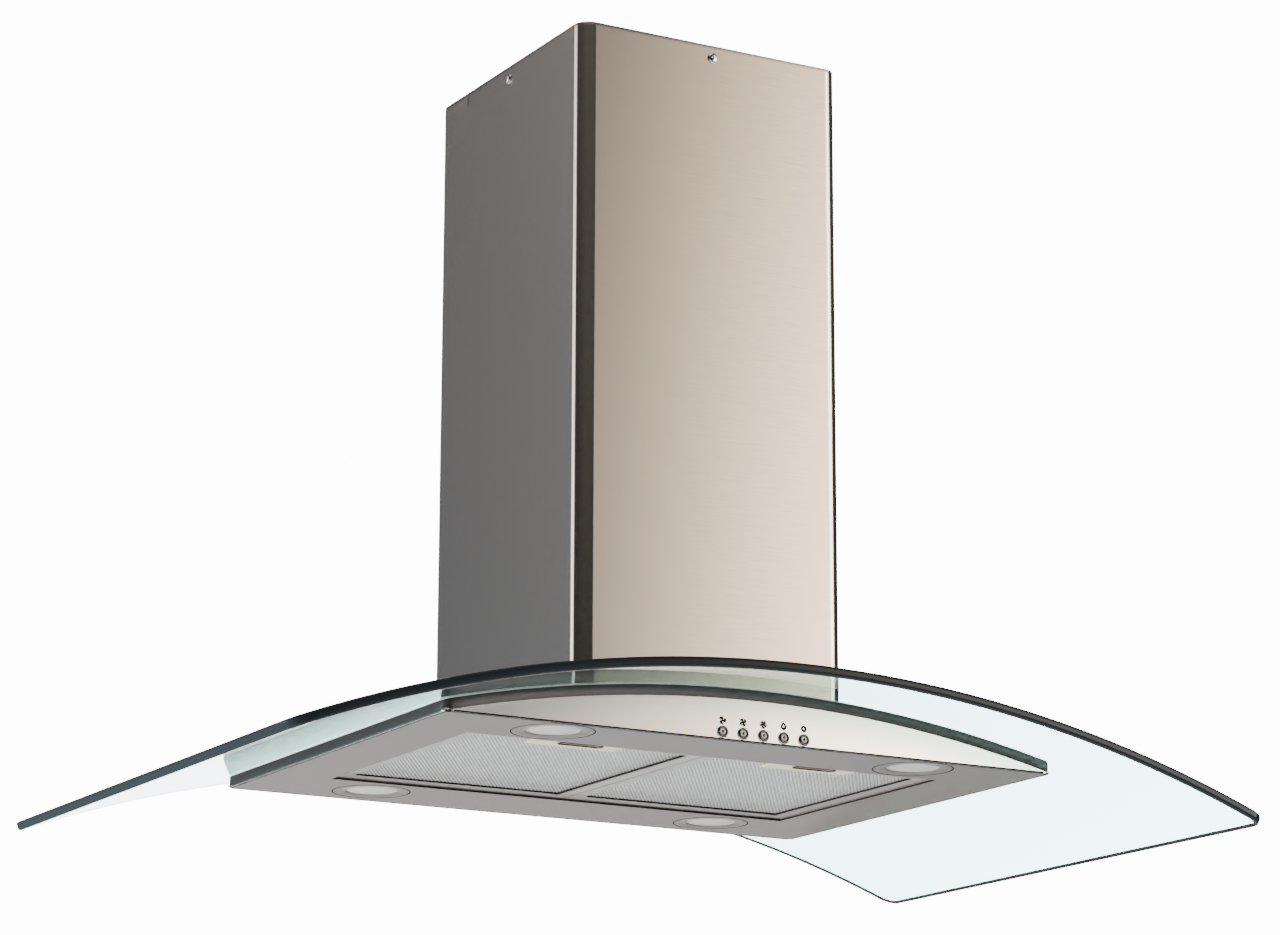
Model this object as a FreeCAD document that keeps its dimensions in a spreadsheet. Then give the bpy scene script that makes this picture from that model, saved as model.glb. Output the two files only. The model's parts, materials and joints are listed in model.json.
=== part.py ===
"""Island range hood with an arched glass canopy under a height-adjustable chimney.

The frame has its origin at the centre of the ceiling bracket's upper face, +Z up, +X to the right
of someone who faces the switches, +Y away from them. Pieces that hang on the ceiling are drawn in
that frame. Pieces of the hood are drawn with z = 0 at the underside of the canopy and are lowered
by hood_height. Lengths are millimetres.
"""

import FreeCAD, Part

import math
import os

import Sketcher
from FreeCAD import Vector

doc = FreeCAD.newDocument("RangeHood")

# ---------------------------------------------------------------------------------------------
# Driving dimensions: alias, value, what it is
# ---------------------------------------------------------------------------------------------

SIZES = [
    ("hood_height", 623, "ceiling to the underside of the canopy, chimney closed"),
    ("height_travel", 250, "how far the chimney extends"),
    ("glass_span", 898, "glass, straight across the underside of its ends"),
    ("glass_depth", 576, "glass, front to back"),
    ("glass_thickness", 8, "glass"),
    ("glass_radius", 1224, "radius of the arched underside"),
    ("trim_foot", 0.14, "trim's lower edge at the canopy's sides, above the underside"),
    ("glass_corner", 15, "corner radius of the glass seen from above"),
    ("window_width", 190, "air window through the glass and its clamps"),
    ("window_depth", 200, "air window, front to back"),
    ("window_corner", 20, "corner radius of the air window"),
    ("canopy_width", 572, "steel canopy"),
    ("canopy_depth", 418, "steel canopy, front to back"),
    ("canopy_corner", 7, "upright corners of the canopy"),
    ("sheet_gauge", 1.2, "canopy sheet"),
    ("hem_width", 1.6, "bottom hem of the canopy seen from below"),
    ("seam_gap", 0.7, "shadow gap round the underside panel"),
    ("ledge_reach", 8, "ledge that carries the underside panel, in from the outline"),
    ("seal_thickness", 0.9, "clear seal between glass and trim"),
    ("seal_gap", 0.15, "clearance between the curved glass and what follows it"),
    ("seal_inset", 0.4, "clear seal, in from the trim's outline"),
    ("trim_height", 8.8, "dark trim under the seal"),
    ("trim_width", 14, "dark trim, from the outline inwards"),
    ("fit_gap", 0.3, "clearance between neighbouring pieces"),
    ("rail_spacing", 224, "cross rails and clamp bolts, side to side"),
    ("rail_width", 24, "cross rail"),
    ("rail_foot", 14, "lower edge of the cross rails above the underside"),
    ("rail_gauge", 1.5, "cross rail sheet"),
    ("bolt_spacing", 234, "clamp bolts, front to back"),
    ("gasket_height", 9, "lower gasket at the crown of the glass"),
    ("clamp_gauge", 3, "lower clamp frame"),
    ("clamp_width", 250, "lower clamp frame, side to side"),
    ("clamp_depth", 262, "lower clamp frame, front to back"),
    ("gasket_crown", 2.5, "upper gasket at the crown of the glass"),
    ("base_gauge", 2, "blower base plate"),
    ("bolt_diameter", 6, "clamp bolt"),
    ("bolt_head", 10, "clamp bolt head and nut, across"),
    ("bolt_head_height", 4, "clamp bolt head"),
    ("filter_opening_width", 448, "opening for both filters"),
    ("filter_opening_depth", 253.5, "opening for both filters, front to back"),
    ("filter_opening_x", -4.5, "middle of the opening, side to side"),
    ("filter_opening_y", -7.25, "middle of the opening, front to back"),
    ("filter_gap", 1.2, "gap round and between the filters"),
    ("filter_rear_gap", 1.6, "gap behind the filters, for tilting them out"),
    ("filter_recess", 2, "filter's face above the underside"),
    ("filter_height", 8.5, "filter frame"),
    ("filter_border", 12, "filter frame seen from below"),
    ("filter_flange", 1.2, "faces of the filter frame"),
    ("mesh_recess", 2, "mesh above the filter's face"),
    ("mesh_thickness", 5, "mesh pad"),
    ("opening_lip", 10, "turned-up lip round the filter opening"),
    ("tongue_width", 16, "rear tongue of a filter"),
    ("tongue_pitch", 120, "rear tongues of a filter, apart"),
    ("tongue_thickness", 1.2, "rear tongue"),
    ("tongue_reach", 5, "rear tongue beyond the lip's face"),
    ("pivot_height", 5, "rear tongues above the underside"),
    ("latch_width", 82, "latch plate"),
    ("latch_depth", 23, "latch plate, front to back"),
    ("latch_thickness", 1, "latch plate"),
    ("latch_shift", -7, "latch plate off the middle of its filter"),
    ("finger_length", 38, "finger slot of the latch plate"),
    ("finger_width", 7, "finger slot, front to back"),
    ("finger_in", 6.8, "finger slot, middle behind the filter's front"),
    ("finger_shift", 2, "finger slot off the middle of the latch plate"),
    ("tab_width", 16, "finger tab of the latch bolt"),
    ("tab_gap", 0.2, "finger tab to the slot's front and rear"),
    ("bolt_tongue", 22, "latch bolt"),
    ("bolt_reach", 3, "latch bolt in front of the lip's face"),
    ("bolt_length", 21, "latch bolt behind the lip's face"),
    ("latch_travel", 5, "latch bolt travel"),
    ("lamp_inset", 115, "lamps, in from the canopy's sides"),
    ("lamp_front", 171.5, "front lamps, in front of the middle"),
    ("lamp_rear", 161.4, "rear lamps, behind the middle"),
    ("lamp_trim", 67, "lamp trim ring, diameter"),
    ("lamp_gap", 0.7, "shadow gap round the trim ring"),
    ("lamp_lens", 44, "lens seen from below, diameter"),
    ("lamp_cup", 50, "lamp housing, diameter"),
    ("cup_gauge", 1, "lamp housing sheet"),
    ("lens_thickness", 2, "lamp lens"),
    ("lamp_plate_width", 78, "mounting plate of a lamp"),
    ("lamp_plate_depth", 54, "mounting plate of a lamp, front to back"),
    ("module_height", 3.5, "light source"),
    ("driver_inset", 54, "middle of the lamp driver, in from the canopy's rear"),
    ("driver_width", 120, "lamp driver"),
    ("driver_depth", 30, "lamp driver, front to back"),
    ("driver_height", 12, "lamp driver"),
    ("button_first", -36.5, "first button, from the middle"),
    ("button_pitch", 19.2, "buttons, apart"),
    ("button_height", 6.4, "buttons above the underside"),
    ("button_diameter", 8.2, "button cap"),
    ("bezel_diameter", 10.2, "ring round a button"),
    ("bezel_proud", 1, "ring round a button, in front of the fascia"),
    ("button_proud", 2.6, "button cap in front of the fascia"),
    ("button_cap", 1.7, "button cap, thickness"),
    ("button_travel", 2, "button travel"),
    ("button_stem", 5, "button stem, diameter"),
    ("stem_reach", 9, "button stem behind the fascia's back"),
    ("switch_depth", 16, "switch block behind the fascia"),
    ("chimney_width", 257, "chimney"),
    ("chimney_depth", 268, "chimney, front to back"),
    ("chimney_corner", 14, "upright corners of the chimney"),
    ("chimney_gauge", 1, "chimney sheet"),
    ("sleeve_gap", 1.2, "gap between the two chimney sleeves"),
    ("sleeve_length", 330, "inner chimney sleeve"),
    ("screw_drop", 11.5, "chimney screws below the chimney's top"),
    ("screw_head", 9.5, "chimney screw head, diameter"),
    ("screw_crown", 2, "chimney screw head, height"),
    ("screw_shank", 4, "chimney screw"),
    ("hook_slot_y", 78, "hanging slots in the chimney's sides, behind the middle"),
    ("hook_slot_drop", 8, "middle of the hanging slots below the chimney's top"),
    ("hook_slot_width", 2, "hanging slot"),
    ("hook_slot_height", 8, "hanging slot"),
    ("bracket_gauge", 3, "ceiling bracket plate"),
    ("bracket_lip", 4.5, "turned-down lip of the ceiling bracket"),
    ("bracket_bore", 170, "duct hole of the ceiling bracket"),
    ("ceiling_bolt_x", 190, "ceiling bolt holes, side to side"),
    ("ceiling_bolt_y", 200, "ceiling bolt holes, front to back"),
    ("ceiling_hole", 8.5, "ceiling bolt holes, diameter"),
    ("cable_hole", 14, "hole for the mains cable above the wiring box"),
    ("post_gauge", 2, "posts"),
    ("post_leg", 26, "lower post, each leg"),
    ("post_gap", 0.4, "gap between the two posts of a corner"),
    ("post_length", 330, "upper posts"),
    ("post_shortfall", 25, "lower posts end this far below the chimney's top"),
    ("post_bolt_drop", 40, "upper bolt of a post below the chimney's top"),
    ("post_bolt_pitch", 20, "bolts of a post, apart"),
    ("post_bolt_in", 15, "post bolts, in from the post's outer face"),
    ("post_bolt", 5, "post bolt, diameter"),
    ("box_height", 220.5, "suction box above its base plate"),
    ("box_gauge", 1, "suction box sheet"),
    ("service_border", 16, "border round the service opening of the suction box"),
    ("blower_y", -9, "blower axis behind the middle"),
    ("blower_rise", 115.5, "blower axis above the base plate"),
    ("scroll_radius", 113, "largest radius of the scroll"),
    ("scroll_step", 9, "how much the scroll's radius drops at each quarter turn"),
    ("scroll_width", 120, "scroll housing, side to side"),
    ("scroll_gauge", 1.2, "scroll housing wall"),
    ("outlet_depth", 85, "scroll outlet, front to back"),
    ("inlet_throat", 118, "inlet rings, inner diameter"),
    ("inlet_rim", 160, "inlet rings, outer diameter"),
    ("inlet_roll", 4, "rolled edge of the inlet rings"),
    ("wheel_diameter", 150, "fan wheel"),
    ("wheel_width", 104, "fan wheel"),
    ("blade_depth", 15, "fan blades, in from the rim"),
    ("blade_gauge", 0.8, "fan blade"),
    ("blade_bend", 9.3, "radius of the curved blades"),
    ("hub_diameter", 26, "fan hub"),
    ("hub_length", 18, "fan hub"),
    ("wheel_web", 6, "middle of the fan's web, right of the axis centre"),
    ("web_gauge", 1.5, "fan's web"),
    ("shaft_diameter", 8, "motor shaft"),
    ("shaft_seat", 22, "shaft inside the motor"),
    ("bearing_gap", 0.05, "running clearance of the shaft, on the radius"),
    ("motor_diameter", 86, "motor"),
    ("motor_length", 96, "motor"),
    ("motor_nose", -8, "front end of the motor from the axis centre"),
    ("motor_edge", 5, "bevel of the motor's ends"),
    ("arm_gauge", 2, "motor bracket and capacitor strap"),
    ("arm_width", 14, "arm of the motor bracket"),
    ("capacitor_diameter", 28, "capacitor"),
    ("capacitor_length", 55, "capacitor"),
    ("strap_foot", 9, "foot of the capacitor strap"),
    ("strap_width", 14, "capacitor strap"),
    ("duct_diameter", 150, "outlet spigot, outside"),
    ("duct_wall", 1.2, "outlet spigot wall"),
    ("duct_rise", 52, "transition from the scroll's outlet to the round spigot"),
    ("duct_collar", 45, "round spigot"),
    ("spigot_flange", 11, "foot flange of the spigot beyond the outlet"),
    ("flap_gauge", 1.6, "backdraught flap"),
    ("flap_offset", 2.5, "flap pins from the middle"),
    ("flap_height", 12, "flap pins above the foot of the round spigot"),
    ("flap_gap", 0.8, "flap's edge to the spigot's wall"),
    ("flap_pin", 1.8, "flap pin, diameter"),
    ("flap_play", 0.1, "flap pin's clearance, on the radius"),
    ("flap_ledge", 2.4, "ledge and bar that the flaps close on"),
    ("gland_bore", 9, "cable hole of the gland"),
    ("gland_length", 20, "gland"),
    ("wiring_y", 101, "wiring box, in front of the middle"),
    ("wiring_width", 80, "wiring box"),
    ("wiring_depth", 34, "wiring box, front to back"),
    ("wiring_height", 40, "wiring box"),
]

BUTTONS = 5
BLADES = 32
BLADE_SHARES = (-1, -0.35, 0.35, 1)
HOPPER_SIDES = 24

sheet = doc.addObject("Spreadsheet::Sheet", "Sizes")
for row, (alias, amount, meaning) in enumerate(SIZES, start=1):
    sheet.set(f"A{row}", meaning)
    sheet.set(f"B{row}", str(amount))
    sheet.setAlias(f"B{row}", alias)
doc.recompute()

# Lengths that several pieces share, as expressions of the sheet
GLASS_TOP = "(Sizes.glass_radius + Sizes.glass_thickness)"
SEAL_BOTTOM = "(Sizes.glass_radius - Sizes.seal_thickness)"
TRIM_BOTTOM = "(Sizes.glass_radius - Sizes.seal_thickness - Sizes.trim_height)"
ARCH_Z = f"(Sizes.trim_foot - sqrt({TRIM_BOTTOM} ^ 2 - (Sizes.canopy_width / 2) ^ 2))"
APEX = f"({ARCH_Z} + Sizes.glass_radius)"
PANEL_INSET = "(Sizes.hem_width + Sizes.seam_gap)"
FASCIA_HALF = "(Sizes.canopy_width / 2 - Sizes.canopy_corner)"
CLAMP_TOP = f"({APEX} - Sizes.gasket_height)"
CLAMP_BOTTOM = f"({CLAMP_TOP} - Sizes.clamp_gauge)"
BASE_FOOT = f"({APEX} + Sizes.glass_thickness + Sizes.gasket_crown)"
BASE_TOP = f"({BASE_FOOT} + Sizes.base_gauge)"
BOX_TOP = f"({BASE_TOP} + Sizes.box_height)"
BLOWER_Z = f"({BASE_TOP} + Sizes.blower_rise)"
LAMP_X = "(Sizes.canopy_width / 2 - Sizes.lamp_inset)"
CUP_REACH = f"({LAMP_X} + Sizes.lamp_cup / 4)"
CUP_TOP = f"(sqrt({TRIM_BOTTOM} ^ 2 - {CUP_REACH} ^ 2) + {ARCH_Z} - Sizes.fit_gap)"
SLEEVE_INSET = "(2 * Sizes.chimney_gauge + Sizes.sleeve_gap)"
POST_X = f"(Sizes.chimney_width / 2 - {SLEEVE_INSET} - 2 * Sizes.fit_gap)"
POST_Y = f"(Sizes.chimney_depth / 2 - {SLEEVE_INSET} - 2 * Sizes.fit_gap)"
NEST = "(Sizes.post_gauge + Sizes.post_gap)"
BOX_X = f"({POST_X} - 2 * {NEST} - 2 * Sizes.fit_gap)"
BOX_Y = f"({POST_Y} - 2 * {NEST} - 5 * Sizes.fit_gap)"
FASCIA_BACK = "(Sizes.canopy_depth / 2 - Sizes.sheet_gauge)"


# ---------------------------------------------------------------------------------------------
# Drawing helpers
# ---------------------------------------------------------------------------------------------


def value(expression):
    """The number that an expression of the sheet stands for."""
    return float(sheet.evalExpression(str(expression)))


def new_body(label, hangs_on_hood=True, side="0", depth="0", height="0"):
    """A named body. Hood pieces are lowered from the ceiling by the hood's height."""
    body = doc.addObject("PartDesign::Body", label)
    body.Label = label
    body.AllowCompound = True
    drop = " - Sizes.hood_height" if hangs_on_hood else ""
    body.setExpression("Placement.Base.x", side)
    body.setExpression("Placement.Base.y", depth)
    body.setExpression("Placement.Base.z", height + drop)
    return body


def origin_plane(body, role):
    """One of a body's own origin planes."""
    return next(item for item in body.Origin.OriginFeatures if item.Role == role)


def new_sketch(body, role="XY_Plane", offset="0"):
    """A sketch on an origin plane, moved along the plane's normal (+Z, -Y or +X)."""
    sketch = body.newObject("Sketcher::SketchObject", body.Label + "_sketch")
    sketch.AttachmentSupport = (origin_plane(body, role), [""])
    sketch.MapMode = "FlatFace"
    sketch.setExpression(".AttachmentOffset.Base.z", str(offset))
    return sketch


def hold(sketch, constraint, expression):
    """Adds a dimension to a sketch and binds it to an expression."""
    index = sketch.addConstraint(constraint)
    sketch.renameConstraint(index, f"dimension_{index}")
    sketch.setExpression(f"Constraints.dimension_{index}", str(expression))


def hold_point(sketch, edge, end, x, y):
    """Fixes one end of an edge at (x, y) from the sketch's origin."""
    hold(sketch, Sketcher.Constraint("DistanceX", -1, 1, edge, end, value(x)), x)
    hold(sketch, Sketcher.Constraint("DistanceY", -1, 1, edge, end, value(y)), y)


def polygon(sketch, corners):
    """A closed outline through corners, each a pair of expressions."""
    first = sketch.GeometryCount
    points = [Vector(value(x), value(y), 0) for x, y in corners]
    for start, finish in zip(points, points[1:] + points[:1]):
        sketch.addGeometry(Part.LineSegment(start, finish))
    for step, (x, y) in enumerate(corners):
        following = first + (step + 1) % len(corners)
        sketch.addConstraint(Sketcher.Constraint("Coincident", first + step, 2, following, 1))
        hold_point(sketch, first + step, 1, x, y)


def rectangle(sketch, x_low, x_high, y_low, y_high):
    """An upright rectangle between four expressions."""
    polygon(sketch, [(x_low, y_low), (x_high, y_low), (x_high, y_high), (x_low, y_high)])


def centred_rectangle(sketch, width, depth):
    """A rectangle about the sketch's origin."""
    rectangle(sketch, f"-({width}) / 2", f"({width}) / 2", f"-({depth}) / 2", f"({depth}) / 2")


def rounded_rectangle(sketch, width, depth, corner):
    """A rectangle with rounded corners about the sketch's origin."""
    half_x, half_y, radius = value(width) / 2, value(depth) / 2, value(corner)
    arcs = []
    for quarter, (side, end) in enumerate((("", ""), ("-", ""), ("-", "-"), ("", "-"))):
        middle = Vector(
            (half_x - radius) * (-1 if side else 1), (half_y - radius) * (-1 if end else 1), 0
        )
        turn = quarter * math.pi / 2
        edge = sketch.addGeometry(
            Part.ArcOfCircle(
                Part.Circle(middle, Vector(0, 0, 1), radius), turn, turn + math.pi / 2
            )
        )
        hold_point(
            sketch,
            edge,
            3,
            f"{side}(({width}) / 2 - ({corner}))",
            f"{end}(({depth}) / 2 - ({corner}))",
        )
        hold(sketch, Sketcher.Constraint("Radius", edge, radius), corner)
        arcs.append(edge)
    for one, other in zip(arcs, arcs[1:] + arcs[:1]):
        start = sketch.getPoint(one, 2)
        finish = sketch.getPoint(other, 1)
        line = sketch.addGeometry(Part.LineSegment(start, finish))
        sketch.addConstraint(Sketcher.Constraint("Tangent", one, 2, line, 1))
        sketch.addConstraint(Sketcher.Constraint("Tangent", line, 2, other, 1))


def circle(sketch, x, y, diameter):
    """A circle at (x, y)."""
    round_edge = Part.Circle(Vector(value(x), value(y), 0), Vector(0, 0, 1), value(diameter) / 2)
    edge = sketch.addGeometry(round_edge)
    hold_point(sketch, edge, 3, x, y)
    hold(sketch, Sketcher.Constraint("Diameter", edge, value(diameter)), diameter)


def four_circles(sketch, spacing_x, spacing_y, diameter):
    """Circles at the corners of a rectangle about the sketch's origin."""
    for side in ("-", ""):
        for end in ("-", ""):
            circle(sketch, f"{side}({spacing_x}) / 2", f"{end}({spacing_y}) / 2", diameter)


def arc(sketch, radius, half):
    """An arc about the arch's centre, from x = half over the crown to x = -half."""
    middle = Vector(0, value(ARCH_Z), 0)
    reach = math.acos(value(half) / value(radius))
    line = Part.ArcOfCircle(
        Part.Circle(middle, Vector(0, 0, 1), value(radius)), reach, math.pi - reach
    )
    edge = sketch.addGeometry(line)
    sketch.addConstraint(Sketcher.Constraint("PointOnObject", edge, 3, -2))
    hold(sketch, Sketcher.Constraint("DistanceY", -1, 1, edge, 3, middle.y), ARCH_Z)
    hold(sketch, Sketcher.Constraint("Radius", edge, value(radius)), radius)
    hold(sketch, Sketcher.Constraint("DistanceX", -1, 1, edge, 1, value(half)), half)
    hold(
        sketch, Sketcher.Constraint("DistanceX", -1, 1, edge, 2, -value(half)), f"-({half})"
    )
    return edge


def arc_point(radius, x):
    """The point of an arc about the arch's centre at x."""
    return Vector(x, value(ARCH_Z) + math.sqrt(value(radius) ** 2 - x**2), 0)


def arched_band(sketch, low, high, half):
    """The band between two arcs about the arch's centre, cut upright at x = +-half."""
    inner = arc(sketch, low, half)
    outer = arc(sketch, high, half)
    for end, x in ((1, value(half)), (2, -value(half))):
        side = sketch.addGeometry(Part.LineSegment(arc_point(low, x), arc_point(high, x)))
        sketch.addConstraint(Sketcher.Constraint("Coincident", side, 1, inner, end))
        sketch.addConstraint(Sketcher.Constraint("Coincident", side, 2, outer, end))


def arched_plate(sketch, radius, half, foot):
    """The area under an arc, down to a level foot and out to x = +-half."""
    crown = arc(sketch, radius, half)
    x, z = value(half), value(foot)
    right = sketch.addGeometry(Part.LineSegment(arc_point(radius, x), Vector(x, z, 0)))
    level = sketch.addGeometry(Part.LineSegment(Vector(x, z, 0), Vector(-x, z, 0)))
    left = sketch.addGeometry(Part.LineSegment(Vector(-x, z, 0), arc_point(radius, -x)))
    for one, one_end, other, other_end in (
        (right, 1, crown, 1),
        (right, 2, level, 1),
        (level, 2, left, 1),
        (left, 2, crown, 2),
    ):
        sketch.addConstraint(
            Sketcher.Constraint("Coincident", one, one_end, other, other_end)
        )
    for upright in (right, left):
        sketch.addConstraint(Sketcher.Constraint("Vertical", upright))
    sketch.addConstraint(Sketcher.Constraint("Horizontal", level))
    hold(sketch, Sketcher.Constraint("DistanceY", -1, 1, level, 1, z), foot)


def pad(body, sketch, length, both_ways=False, backwards=False):
    """Extrudes a sketch along its normal."""
    feature = body.newObject("PartDesign::Pad", body.Label + "_pad")
    feature.Profile = sketch
    feature.setExpression("Length", str(length))
    feature.SideType = "Symmetric" if both_ways else "One side"
    feature.Reversed = backwards
    return feature


def pocket(body, sketch, length, both_ways=False, forwards=False):
    """Cuts a sketch out against its normal, or along it with forwards."""
    feature = body.newObject("PartDesign::Pocket", body.Label + "_pocket")
    feature.Profile = sketch
    feature.setExpression("Length", str(length))
    feature.SideType = "Symmetric" if both_ways else "One side"
    feature.Reversed = forwards
    return feature


def mirror(body, role):
    """Adds the body's mirror image in one of its origin planes."""
    feature = body.newObject("PartDesign::Mirrored", body.Label + "_mirror")
    feature.TransformMode = "Whole shape"
    feature.MirrorPlane = (origin_plane(body, role), [""])
    body.Tip = feature
    return feature


def round_edges(body, chosen, radius):
    """Rounds the edges of a body's newest feature for which chosen(edge) holds."""
    doc.recompute()
    solid = body.Tip
    names = [
        f"Edge{number}"
        for number, edge in enumerate(solid.Shape.Edges, start=1)
        if chosen(edge)
    ]
    feature = body.newObject("PartDesign::Fillet", body.Label + "_round")
    feature.Base = (solid, names)
    feature.setExpression("Radius", str(radius))
    return feature


def bevel_edges(body, chosen, width):
    """Bevels the edges of a body's newest feature for which chosen(edge) holds."""
    doc.recompute()
    solid = body.Tip
    names = [
        f"Edge{number}"
        for number, edge in enumerate(solid.Shape.Edges, start=1)
        if chosen(edge)
    ]
    feature = body.newObject("PartDesign::Chamfer", body.Label + "_bevel")
    feature.Base = (solid, names)
    feature.setExpression("Size", str(width))
    return feature


def round_corners(body, half_x, half_y, radius):
    """Rounds the upright edges at the corners of a rectangle about the body's origin."""
    x, y = value(half_x), value(half_y)

    def at_corner(edge):
        first, last = edge.Vertexes[0].Point, edge.Vertexes[-1].Point
        upright = abs(first.x - last.x) < 1e-6 and abs(first.y - last.y) < 1e-6
        return upright and abs(abs(first.x) - x) < 1e-4 and abs(abs(first.y) - y) < 1e-4

    return round_edges(body, at_corner, radius)


def revolve(body, sketch, axis_role):
    """Turns a sketch a full turn about one of the body's origin axes."""
    feature = body.newObject("PartDesign::Revolution", body.Label + "_turn")
    feature.Profile = sketch
    feature.ReferenceAxis = (origin_plane(body, axis_role), [""])
    feature.Angle = 360
    return feature


def finished_shape(label, shape, hangs_on_hood=True, side=0, depth=0, height=0):
    """A piece whose form is worked out here, put in its place."""
    feature = doc.addObject("Part::Feature", label)
    feature.Label = label
    feature.Shape = shape
    drop = value("Sizes.hood_height") if hangs_on_hood else 0
    feature.Placement.Base = Vector(side, depth, height - drop)
    return feature


# ---------------------------------------------------------------------------------------------
# Pieces that hang on the ceiling
# ---------------------------------------------------------------------------------------------


def ceiling_bracket():
    """Plate with holes for the duct, the cable and four bolts, its rim turned down."""
    body = new_body("ceiling_bracket", hangs_on_hood=False)
    width = f"(Sizes.chimney_width - 2 * {SLEEVE_INSET} - 2 * Sizes.fit_gap)"
    depth = f"(Sizes.chimney_depth - 2 * {SLEEVE_INSET} - 2 * Sizes.fit_gap)"
    plate = new_sketch(body)
    centred_rectangle(plate, width, depth)
    pad(body, plate, "Sizes.bracket_gauge + Sizes.bracket_lip", backwards=True)
    round_corners(
        body, f"{width} / 2", f"{depth} / 2", f"Sizes.chimney_corner - {SLEEVE_INSET}"
    )
    hollow = new_sketch(body, offset="-Sizes.bracket_gauge")
    centred_rectangle(
        hollow, f"{width} - 2 * Sizes.post_gauge", f"{depth} - 2 * Sizes.post_gauge"
    )
    pocket(body, hollow, "2 * Sizes.bracket_lip")
    holes = new_sketch(body)
    circle(holes, "0", "0", "Sizes.bracket_bore")
    circle(holes, "Sizes.wiring_width / 4", "-Sizes.wiring_y", "Sizes.cable_hole")
    four_circles(holes, "Sizes.ceiling_bolt_x", "Sizes.ceiling_bolt_y", "Sizes.ceiling_hole")
    pocket(body, holes, "2 * Sizes.bracket_gauge")


def post_outline(sketch, x, y, leg):
    """An angle section whose outer corner is at (x, y) and whose legs point inwards."""
    polygon(
        sketch,
        [
            (x, y),
            (f"{x} - ({leg})", y),
            (f"{x} - ({leg})", f"{y} - Sizes.post_gauge"),
            (f"{x} - Sizes.post_gauge", f"{y} - Sizes.post_gauge"),
            (f"{x} - Sizes.post_gauge", f"{y} - ({leg})"),
            (x, f"{y} - ({leg})"),
        ],
    )


def round_post(body, x, y, radius):
    """Bends a post's corner: the outer edge at (x, y) and the inner edge behind it."""
    gauge = value("Sizes.post_gauge")
    for inset, bend in ((0, radius), (gauge, f"{radius} - Sizes.post_gauge")):
        corner_x, corner_y = value(x) - inset, value(y) - inset

        def at_corner(edge):
            return all(
                abs(vertex.X - corner_x) < 1e-4 and abs(vertex.Y - corner_y) < 1e-4
                for vertex in edge.Vertexes
            )

        round_edges(body, at_corner, bend)


def upper_posts():
    """Four angles under the bracket, slotted for the bolts of the lower posts."""
    body = new_body("upper_posts", hangs_on_hood=False)
    section = new_sketch(body, offset="-Sizes.bracket_gauge")
    post_outline(
        section, f"({POST_X} - {NEST})", f"({POST_Y} - {NEST})", f"(Sizes.post_leg - {NEST})"
    )
    pad(body, section, "Sizes.post_length", backwards=True)
    bend = f"(Sizes.chimney_corner - {SLEEVE_INSET} - Sizes.post_gauge)"
    round_post(body, f"{POST_X} - {NEST}", f"{POST_Y} - {NEST}", bend)
    slot = new_sketch(body, "XZ_Plane", offset=f"-({POST_Y})")
    middle = f"({POST_X} - Sizes.post_bolt_in)"
    half = "(Sizes.post_bolt / 2 + Sizes.fit_gap)"
    rectangle(
        slot,
        f"{middle} - {half}",
        f"{middle} + {half}",
        f"-Sizes.post_bolt_drop - Sizes.post_bolt_pitch - Sizes.height_travel - {half}",
        f"-Sizes.post_bolt_drop + {half}",
    )
    pocket(body, slot, "8 * Sizes.post_gauge", both_ways=True)
    mirror(body, "YZ_Plane")
    mirror(body, "XZ_Plane")


def rounded_tube(body, width, depth, corner, gauge, foot, length):
    """A square tube with rounded corners from z = foot up."""
    section = new_sketch(body, offset=foot)
    rounded_rectangle(section, width, depth, corner)
    rounded_rectangle(
        section, f"{width} - 2 * {gauge}", f"{depth} - 2 * {gauge}", f"{corner} - {gauge}"
    )
    pad(body, section, length)


def chimney_sleeve():
    """Inner sleeve that hangs from the bracket, slotted where the chimney's screws run."""
    body = new_body("chimney_sleeve", hangs_on_hood=False)
    inset = "(Sizes.chimney_gauge + Sizes.sleeve_gap)"
    rounded_tube(
        body,
        f"(Sizes.chimney_width - 2 * {inset})",
        f"(Sizes.chimney_depth - 2 * {inset})",
        f"(Sizes.chimney_corner - {inset})",
        "Sizes.chimney_gauge",
        "-Sizes.sleeve_length",
        "Sizes.sleeve_length",
    )
    half = "(Sizes.screw_shank / 2 + Sizes.fit_gap)"
    for role in ("XZ_Plane", "YZ_Plane"):
        slots = new_sketch(body, role)
        rectangle(
            slots,
            f"-{half}",
            half,
            f"-Sizes.screw_drop - Sizes.height_travel - {half}",
            f"-Sizes.screw_drop + {half}",
        )
        pocket(body, slots, "2 * Sizes.chimney_depth", both_ways=True)


# ---------------------------------------------------------------------------------------------
# Glass, seal, trim and the canopy's sheet metal
# ---------------------------------------------------------------------------------------------


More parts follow.
